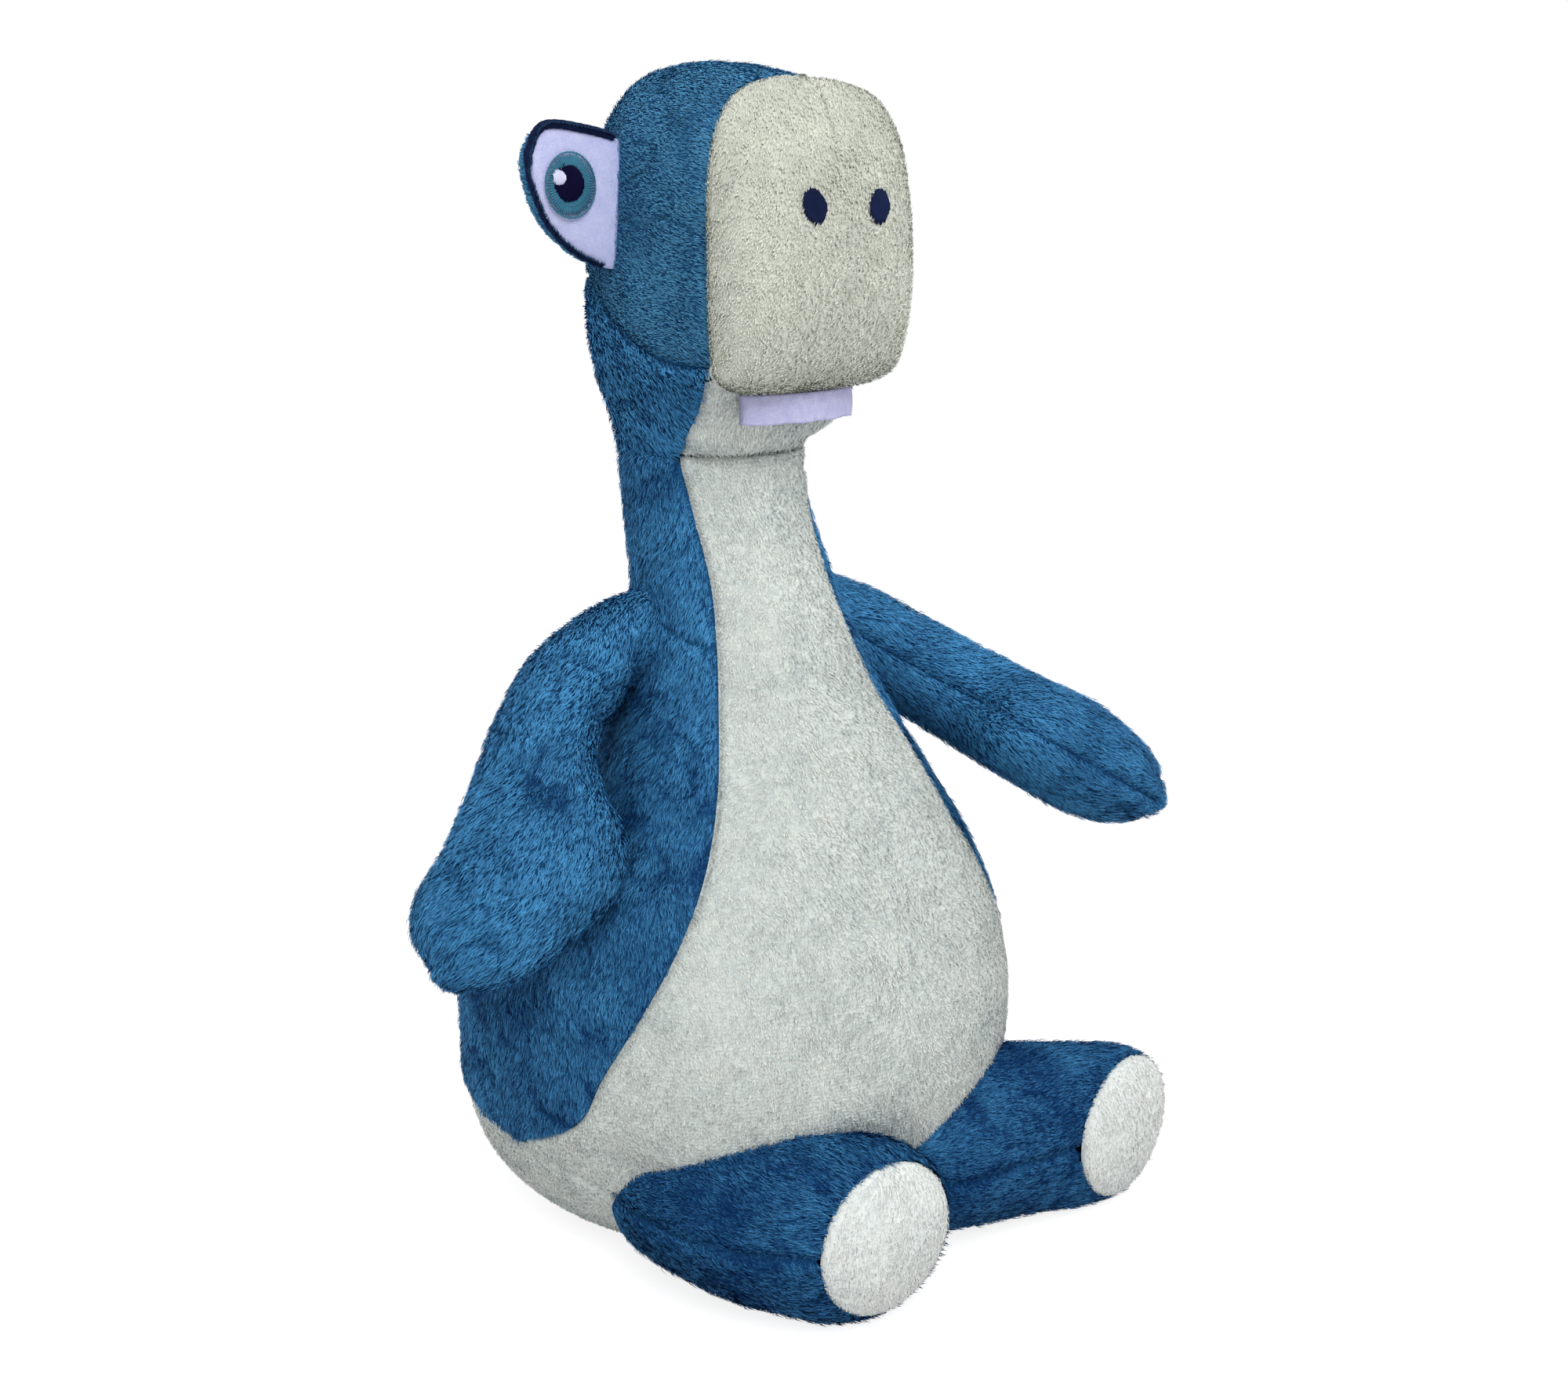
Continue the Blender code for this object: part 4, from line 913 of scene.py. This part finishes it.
def centre_seam(points):
    """The groove between the muzzle's halves, over its top."""
    near = np.exp(-(points[..., 0] / (1.3 * MM)) ** 2)
    return -1.0 * MM * near * ease((points[..., 2] - 0.303) / 0.012)


def jaw_relief(points):
    """The folds of the throat, and above the teeth the part that goes up into the muzzle."""
    high = ease((points[..., 2] - 0.2435) / 0.0025) * ease((0.030 - np.abs(points[..., 0])) / 0.006)
    return throat_folds(points) + 1.0 * MM * high


HEAD_STYLE = dict(length=2.6, width=0.28, density=4.4, tuft=1.6, gather=0.25, lift=14, swing=0.4,
                  tone=(0.36, 0.80))
MUZZLE_STYLE = dict(length=1.2, tuft=1.2, lift=45, rib=0.0, tone=(0.42, 0.92))
for label, side in SIDES:
    def nape_half(rows, side=side):
        near, far = jaw_half(rows), 180.0 + 0 * rows
        return (near, far) if side > 0 else (-far, -near)

    def cheek_line(across, side=side):
        """The row of the seam between the head and the nape."""
        return CHEEK_ROW + CHEEK_CLIMB * ease((across if side > 0 else 1 - across) * 1.6)

    front_seam, back_seam = ((1, 0), (0, 1)) if side > 0 else ((0, 1), (1, 0))
    panel("head_" + label, face, lambda s: (cheek_line(s), len(HEAD) - 1.0 + 0 * s),
          between(*sorted((side * 90.0, side * 180.0))), (90, 90), BLUE_HEAD, HEAD_RIDE,
          ("head_panel_" + label,), forwards, front_seam + (1, 0), 160 + side, tip=to_centre_line,
          rise=0.0004, pile=HEAD_STYLE, strength=0.6)
    # The nape's pile grows paler towards the top: painted light from above.
    panel("nape_" + label, face, lambda s: (0 * s, cheek_line(s)), nape_half, (50, 90), BLUE, HEAD_RIDE,
          ("nape_panel_" + label,), forwards, front_seam + (0, 1), 170 + side, strength=0.6, tuck=(3, 0),
          pile=dict(top_light=NAPE_TOP_LIGHT))
    panel("muzzle_" + label, muzzle, all_rows(MUZZLE), between(*sorted((0.0, side * 90.0))), (90, 60),
          CREAM_MUZZLE, HEAD_RIDE, ("muzzle_panel_" + label,), (0, -0.2, 1), back_seam + (0.5, 0), 180 + side,
          tip=to_centre_line, rise=0.0004, strength=0.5, relief=centre_seam, pile=MUZZLE_STYLE)

panel("jaw", face, between(0.0, JAW_TOP_ROW), lambda rows: (-jaw_half(rows), jaw_half(rows)), (60, 90), CREAM,
      HEAD_RIDE, ("jaw_panel", "head_stuffing"), DOWN, (1, 1, 0, 0), 190, relief=jaw_relief, strength=0.6,
      tuck=(3, 0), pile=dict(length=2.2, lift=14))


# ================ arms, legs and tail
def inside_torso(points):
    return depth_in_trunk(points) > 1.0 * MM


def limb(kind, part, label, filled, surface, table, start, counts, ride, lay, seed, **looks):
    """One of the two long panels of an arm or a leg; one of them also stands for its filling."""
    nodes = ["%s_%s_panel_%s" % (kind, part, label)] + ["%s_stuffing_%s" % (kind, label)] * filled
    panel("%s_%s_%s" % (kind, part, label), surface, all_rows(table), between(start, start + 180), counts,
          BLUE, ride, nodes, lay, (1, 1, 0, 0), seed, skip=inside_torso, **looks)


for label, _ in SIDES:
    shoulder, _, _, along = arm_frame(label)
    outer = ARMS[label][3]
    ride = blending(shoulder + along * 0.012, shoulder + along * 0.036)
    for part, way in (("outer", outer), ("inner", -outer)):
        limb("arm", part, label, part == "outer", arm(label), ARM, 0.0 if way > 0 else 180.0, (130, 60), ride,
             along, 200 + outer * 3 + way, tip=to_middle, rise=0.004, strength=0.8,
             pile=dict(lift=26, tone=(0.34, 0.86)))

for label, _ in SIDES:
    line = np.array(LEGS[label])
    ahead = unit(line[-1, :3] - line[2, :3])
    ride = blending(line[1, :3], line[3, :3])
    # The legs' pile runs in much darker tones than the rest: painted shade.
    for part, start in (("upper", 0.0), ("lower", 180.0)):
        limb("leg", part, label, part == "upper", leg(label), line, start, (90, 90), ride, ahead,
             230 + len(label) + int(start), strength=0.7, pile=dict(tone=(-0.02, 0.44)))
    panel("sole_%s_pad" % label, sole(label), between(0.0, SOLE_END), between(0, 360), (30, 120), CREAM_SOLE,
          riding("leg_" + label), ("sole_" + label,), DOWN, (0, 0, 0.4, 0), 250 + len(label),
          pile=dict(rib=0.0, lift=22, tone=(0.45, 1.10)), strength=0.5)

TAIL_RIDE = blending((0, 0.074, 0.026), (0.004, 0.100, 0.021))
for label, start in (("left", 0.0), ("right", 180.0)):
    nodes = ["tail_panel_" + label] + (["tail_stuffing"] if label == "left" else [])
    panel("tail_" + label, tail, all_rows(TAIL), between(start, start + 180), (100, 60), BLUE, TAIL_RIDE,
          nodes, (0.2, 1, -0.15), (1, 1, 0, 0), 260 + len(label), tip=to_middle, rise=0.003,
          skip=inside_torso, strength=0.7)

# ================ eyes
HEAD_FINE = smooth(HEAD, np.linspace(0, len(HEAD) - 1, 400))
EYE_STYLE = dict(length=1.4, lift=14, density=5.0)


def inside_head(points):
    """True for points under the head's own cloth."""
    half, centre, reach = (np.interp(points[:, 2], HEAD_FINE[:, 0], HEAD_FINE[:, k]) for k in (1, 2, 4))
    out = np.abs(points[:, 0]) / half
    behind = np.clip(points[:, 1] - centre, 0, None) / reach
    return out ** HEAD_SQUARENESS + behind ** HEAD_SQUARENESS < 0.97


def sewn_on_head(piece, slot, *nodes):
    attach(piece, "head")
    if nodes:
        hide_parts(*nodes)


for label, side in SIDES:
    front, back = ((0.0, 180.0), (180.0, 360.0)) if side > 0 else ((180.0, 360.0), (0.0, 180.0))
    panel("eye_pouch_%s_pad" % label, eye(side), all_rows(EYE), between(*back), (60, 60), BLUE_HEAD,
          HEAD_RIDE, ("eye_pouch_" + label,), (side * 0.3, 1, 0.4), (1, 1, 0, 0), 270 + side, tip=to_middle,
          rise=0.001, skip=inside_head, pile=EYE_STYLE, strength=0.3)
    up = np.linspace(0, 1, 61)[:, None]
    across = np.linspace(0, 1, 41)[None, :]
    angles = front[0] + (front[1] - front[0]) * across + 0 * up
    grid = rounded_tip(eye(side)((len(EYE) - 1) * up + 0 * across, angles), 0.0006, to_middle)
    if normals_of(grid)[..., 1].mean() > 0:
        grid = grid[:, ::-1]
    normals = normals_of(grid)
    grid = grid + normals * (0.25 * MM * noise(grid, 0.008, 7))[..., None]
    white = new_object("eye_white_%s_cloth" % label, skin_mesh("eye_white", grid, normals), [EYE_CLOTH])
    sewn_on_head(white, "eye_cloth", "eye_white_" + label)


# ================ stitching
def thread_mesh(name, paths, radius):
    """Threads along paths of points, each with narrower ends."""
    turns = 2 * math.pi * np.arange(THREAD_SIDES)[:, None] / THREAD_SIDES
    points = []
    faces = []
    ends = []
    first = 0
    for path in paths:
        path = np.asarray(path, float)
        ahead = unit(np.gradient(path, axis=0))
        aside = unit(np.cross(ahead, np.array([0.31, 0.11, 0.94])))
        above = np.cross(ahead, aside)
        size = np.full(len(path), radius)
        size[0] = size[-1] = radius * 0.45
        spokes = np.cos(turns) * aside[:, None] + np.sin(turns) * above[:, None]
        points.append((path[:, None] + size[:, None, None] * spokes).reshape(-1, 3))
        index = first + np.arange(len(path) * THREAD_SIDES).reshape(-1, THREAD_SIDES)
        faces.append(grid_faces(np.concatenate([index, index[:, :1]], axis=1)))
        ends += [index[0, ::-1], index[-1]]
        first += index.size
    return mesh_of(name, np.concatenate(points), [np.concatenate(faces), np.array(ends)])


def stitched(name, paths, radius, tone, *nodes):
    made = new_object(name, thread_mesh(name, paths, radius), [THREADS[tone]])
    sewn_on_head(made, tone + "_thread", *nodes)


def eye_face(side, out, height):
    """A point on the eye's white face."""
    values = smooth(EYE, np.linspace(0, len(EYE) - 1, 300))
    row = values[np.argmin(np.abs(values[:, 0] - out))]
    share = min(1.0, abs(2 * height - row[4] - row[5]) / (row[5] - row[4]))
    return np.array([side * out, row[1] - row[2] * math.sqrt(1 - share * share), height])


def satin(spot, lean, size, lift, count, random):
    """Close stitches that fill an oval; spot(u, v, lift) is a place on the cloth."""
    paths = []
    for step in range(count):
        across = -1 + 2 * (step + 0.5) / count
        half = math.sqrt(max(0.0, 1 - across * across)) * (1 + 0.05 * random.standard_normal())
        line = []
        for along in np.linspace(-1, 1, 7):
            u = across * size[0] + lean * along * half * size[1]
            line.append(spot(u, along * half * size[1], lift * (1 - 0.5 * along ** 4)))
        paths.append(line)
    return paths


EYE_SLOPE = (EYE[-2][1] - EYE[2][1]) / (EYE[-2][0] - EYE[2][0])


def on_face(side, at):
    """Places on the flat of an eye, out and up from a point and lifted off it."""
    facing = unit(np.array([side * EYE_SLOPE, -1.0, 0.0]))
    plane_y = eye_face(side, *IRIS_AT)[1]

    def spot(u, v, lift):
        out = at[0] + u
        return np.array([side * out, plane_y + EYE_SLOPE * (out - IRIS_AT[0]), at[1] + v]) + facing * lift
    return spot


def on_muzzle(side):
    """Places on the front of the muzzle, out and up from the nostril and lifted off it."""
    rows = np.linspace(5, 8, 120)
    heights = smooth(MUZZLE, rows)[:, 0]

    def spot(u, v, lift):
        at_row = rows[np.argmin(np.abs(heights - (NOSTRIL_AT[1] + v)))]
        line = muzzle(np.full(300, at_row), np.linspace(0, 89, 300))
        place = line[np.argmin(np.abs(line[:, 0] - (NOSTRIL_AT[0] + u)))]
        return (place - np.array([0, lift, 0])) * np.array([side, 1, 1])
    return spot


def on_iris(spot, shares, turns, height):
    """A path over the iris, at shares of its size and turns about its middle."""
    return [spot(share * IRIS_SIZE[0] * math.cos(turn), share * IRIS_SIZE[1] * math.sin(turn), height)
            for share, turn in zip(shares, turns)]


def lid_line(side, first_row, column, radius):
    """The middle of a lid's cord, along the eye's edge and on to the lids' shared corner."""
    edge = smooth(EYE, np.linspace(first_row, len(EYE) - 1, 54))
    seam = np.stack([edge[:, 0], edge[:, 1], edge[:, column]], axis=-1)
    corner = np.array([*LID_CORNER, (EYE[-1][4] + EYE[-1][5]) / 2])
    bend = np.linspace(0, 1, 7)[1:, None]
    centre = np.concatenate([seam, seam[-1] + (corner - seam[-1]) * bend])
    centre[-6:, 0] += 0.0006 * np.sin(bend[:, 0] * math.pi)
    return centre * np.array([side, 1, 1]) - np.array([0, 0.7 * radius, 0])


# name, cord radius, strands, first row, column of the eye's edge
LIDS = (("upper", 1.15 * MM, 5, 1.2, 5), ("lower", 0.70 * MM, 3, 1.9, 4))
# share of the iris, height, thread radius
IRIS_RINGS = ((0.98, 0.50 * MM, 0.34 * MM), (0.62, 0.80 * MM, 0.30 * MM))
random = np.random.default_rng(77)
for label, side in SIDES:
    spot = on_face(side, IRIS_AT)
    spokes = []
    for turn in 2 * math.pi * np.arange(IRIS_SPOKES) / IRIS_SPOKES:
        shares = np.linspace(0.30, 0.93 + 0.02 * random.standard_normal(), 5)
        spokes.append(on_iris(spot, shares, [turn] * 5, 0.55 * MM))
    stitched("iris_%s_thread" % label, spokes, 0.36 * MM, "teal", "iris_" + label)
    for ring, (share, height, radius) in enumerate(IRIS_RINGS):
        circle = [on_iris(spot, [share] * 3, turn + np.array([-0.085, 0, 0.085]), height)
                  for turn in 2 * math.pi * np.arange(RING_STITCHES) / RING_STITCHES]
        stitched("iris_%s_ring_%d" % (label, ring), circle, radius, "teal")
    pupil_size = [size * 1.15 for size in PUPIL_SIZE]
    pupil = satin(on_face(side, PUPIL_AT), 0.0, pupil_size, 1.15 * MM, 20, random)
    stitched("pupil_%s_thread" % label, pupil, 0.30 * MM, "ink", "pupil_" + label)
    glint = satin(on_face(side, GLINT_AT), 0.0, GLINT_SIZE, 1.75 * MM, 10, random)
    stitched("glint_%s_thread" % label, glint, 0.26 * MM, "white", "glint_" + label)
    for name, radius, strands, first_row, column in LIDS:
        centre = lid_line(side, first_row, column, radius)
        ahead = unit(np.gradient(centre, axis=0))
        aside = unit(np.cross(ahead, np.array([0.0, 1.0, 0.0])))
        above = np.cross(ahead, aside)
        cord = []
        for strand in range(strands):
            twist = np.linspace(0, CORD_TWIST, len(centre)) + 2 * math.pi * strand / strands
            cord.append(centre + turned(aside, above, twist) * radius * 0.55)
        stitched("%s_lid_%s_cord" % (name, label), cord, radius * 0.55, "navy", "%s_lid_%s" % (name, label))
        band = centre[:, None] + np.linspace(-1, 1, 4)[None, :, None] * above[:, None] * radius * 0.8
        band = band - np.array([0, 0.5 * MM, 0])
        outwards = np.broadcast_to(np.array([0.0, -1.0, 0.0]), band.shape)
        fringe = pile_mesh("lashes", band, outwards, rim_distances(band), LASHES, (side * 0.4, 0, 1),
                           300 + side, (0, 0, 0, 0))
        sewn_on_head(new_object("%s_lid_%s_fringe" % (name, label), fringe, LASH_PILE), "navy_thread")

for label, side in SIDES:
    nostril = satin(on_muzzle(side), 0.12, NOSTRIL_SIZE, 0.7 * MM, 18, random)
    stitched("nostril_%s_thread" % label, nostril, 0.36 * MM, "navy", "nostril_" + label)

# ================ teeth
share = np.linspace(-1, 1, 81)
drop = np.linspace(0, 1, 13)[:, None]
wave = 0.16 * MM * np.sin(share * 11) + 0.07 * MM * np.sin(share * 37)
front_y = TEETH_FRONT + TEETH_SWEEP * share ** 2 - 0.4 * MM * np.sin(drop * math.pi) + wave * drop * 0.6
front_z = TEETH_TOP - drop * (TEETH_HEIGHT - wave * 0.8)
front = np.stack([share * TEETH_HALF + 0 * drop, front_y, front_z], axis=-1)
strip = shell_mesh("teeth_felt", front + np.array([0, TEETH_THICK, 0]), front)
teeth = new_object("teeth_felt", strip, [FELT])
sewn_on_head(teeth, "felt", "teeth_strip")


# ================ stage, light and camera
def lit_and_seen(tree, lighting, seen, output):
    """One shader lights the object, and the camera sees the other."""
    ray = add_node(tree, "LightPath").outputs["Is Camera Ray"]
    mix = add_node(tree, "MixShader", {0: ray, 1: lighting.outputs[0], 2: seen.outputs[0]})
    add_node(tree, output, {0: mix.outputs[0]})


FLOOR_REACH = 3.0
corners = [(x * FLOOR_REACH, y * FLOOR_REACH, 0) for x, y in ((-1, -1), (1, -1), (1, 1), (-1, 1))]
paper = bpy.data.materials.new("pale_paper")
paper.use_nodes = True
tree = paper.node_tree
tree.nodes.clear()
plain = add_node(tree, "BsdfDiffuse", {"Color": (0.80, 0.80, 0.80, 1)})
soft = add_node(tree, "BsdfDiffuse", {"Color": (0.30, 0.30, 0.30, 1)})
glow = add_node(tree, "Emission", {"Strength": 0.84})
both = add_node(tree, "AddShader", {0: soft.outputs[0], 1: glow.outputs[0]})
lit_and_seen(tree, plain, both, "OutputMaterial")
floor = new_object("floor", mesh_of("floor", corners, [np.array([[0, 1, 2, 3]])]), [paper])

world = bpy.data.worlds.new("studio")
bpy.context.scene.world = world
world.use_nodes = True
tree = world.node_tree
tree.nodes.clear()
air = add_node(tree, "Background", {"Color": (0.95, 0.97, 1.0, 1), "Strength": 0.55})
white = add_node(tree, "Background", {"Color": (1, 1, 1, 1), "Strength": 1.0})
lit_and_seen(tree, air, white, "OutputWorld")


def lamp(name, place, size, power):
    """A square lamp that shines on the middle of the object."""
    light = bpy.data.lights.new(name, "AREA")
    light.size = size
    light.energy = power
    made = bpy.data.objects.new(name, light)
    bpy.context.scene.collection.objects.link(made)
    ahead = unit(np.array(LAMP_TARGET) - np.array(place))
    aside = unit(np.cross(ahead, np.array([0, 0, 1.0])))
    above = np.cross(aside, ahead)
    turn = np.eye(4)
    turn[:3, 0], turn[:3, 1], turn[:3, 2], turn[:3, 3] = aside, above, -ahead, place
    made.matrix_world = Matrix(turn.tolist())


LAMP_TARGET = (0.0, 0.0, 0.14)
lamp("key", (-0.62, -0.95, 1.30), 0.8, 16)
lamp("fill", (1.1, -0.7, 0.7), 1.0, 5)
lamp("back", (-0.4, 1.1, 0.9), 0.9, 5)

lens = bpy.data.cameras.new("camera")
lens.sensor_width = 36
lens.lens = 43.2
camera = bpy.data.objects.new("camera", lens)
bpy.context.scene.collection.objects.link(camera)
camera.location = (-0.36835, -0.38967, 0.293)
camera.rotation_euler = (math.radians(75.4), 0, math.radians(-45))
bpy.context.scene.camera = camera
bpy.context.scene.view_settings.view_transform = "Standard"
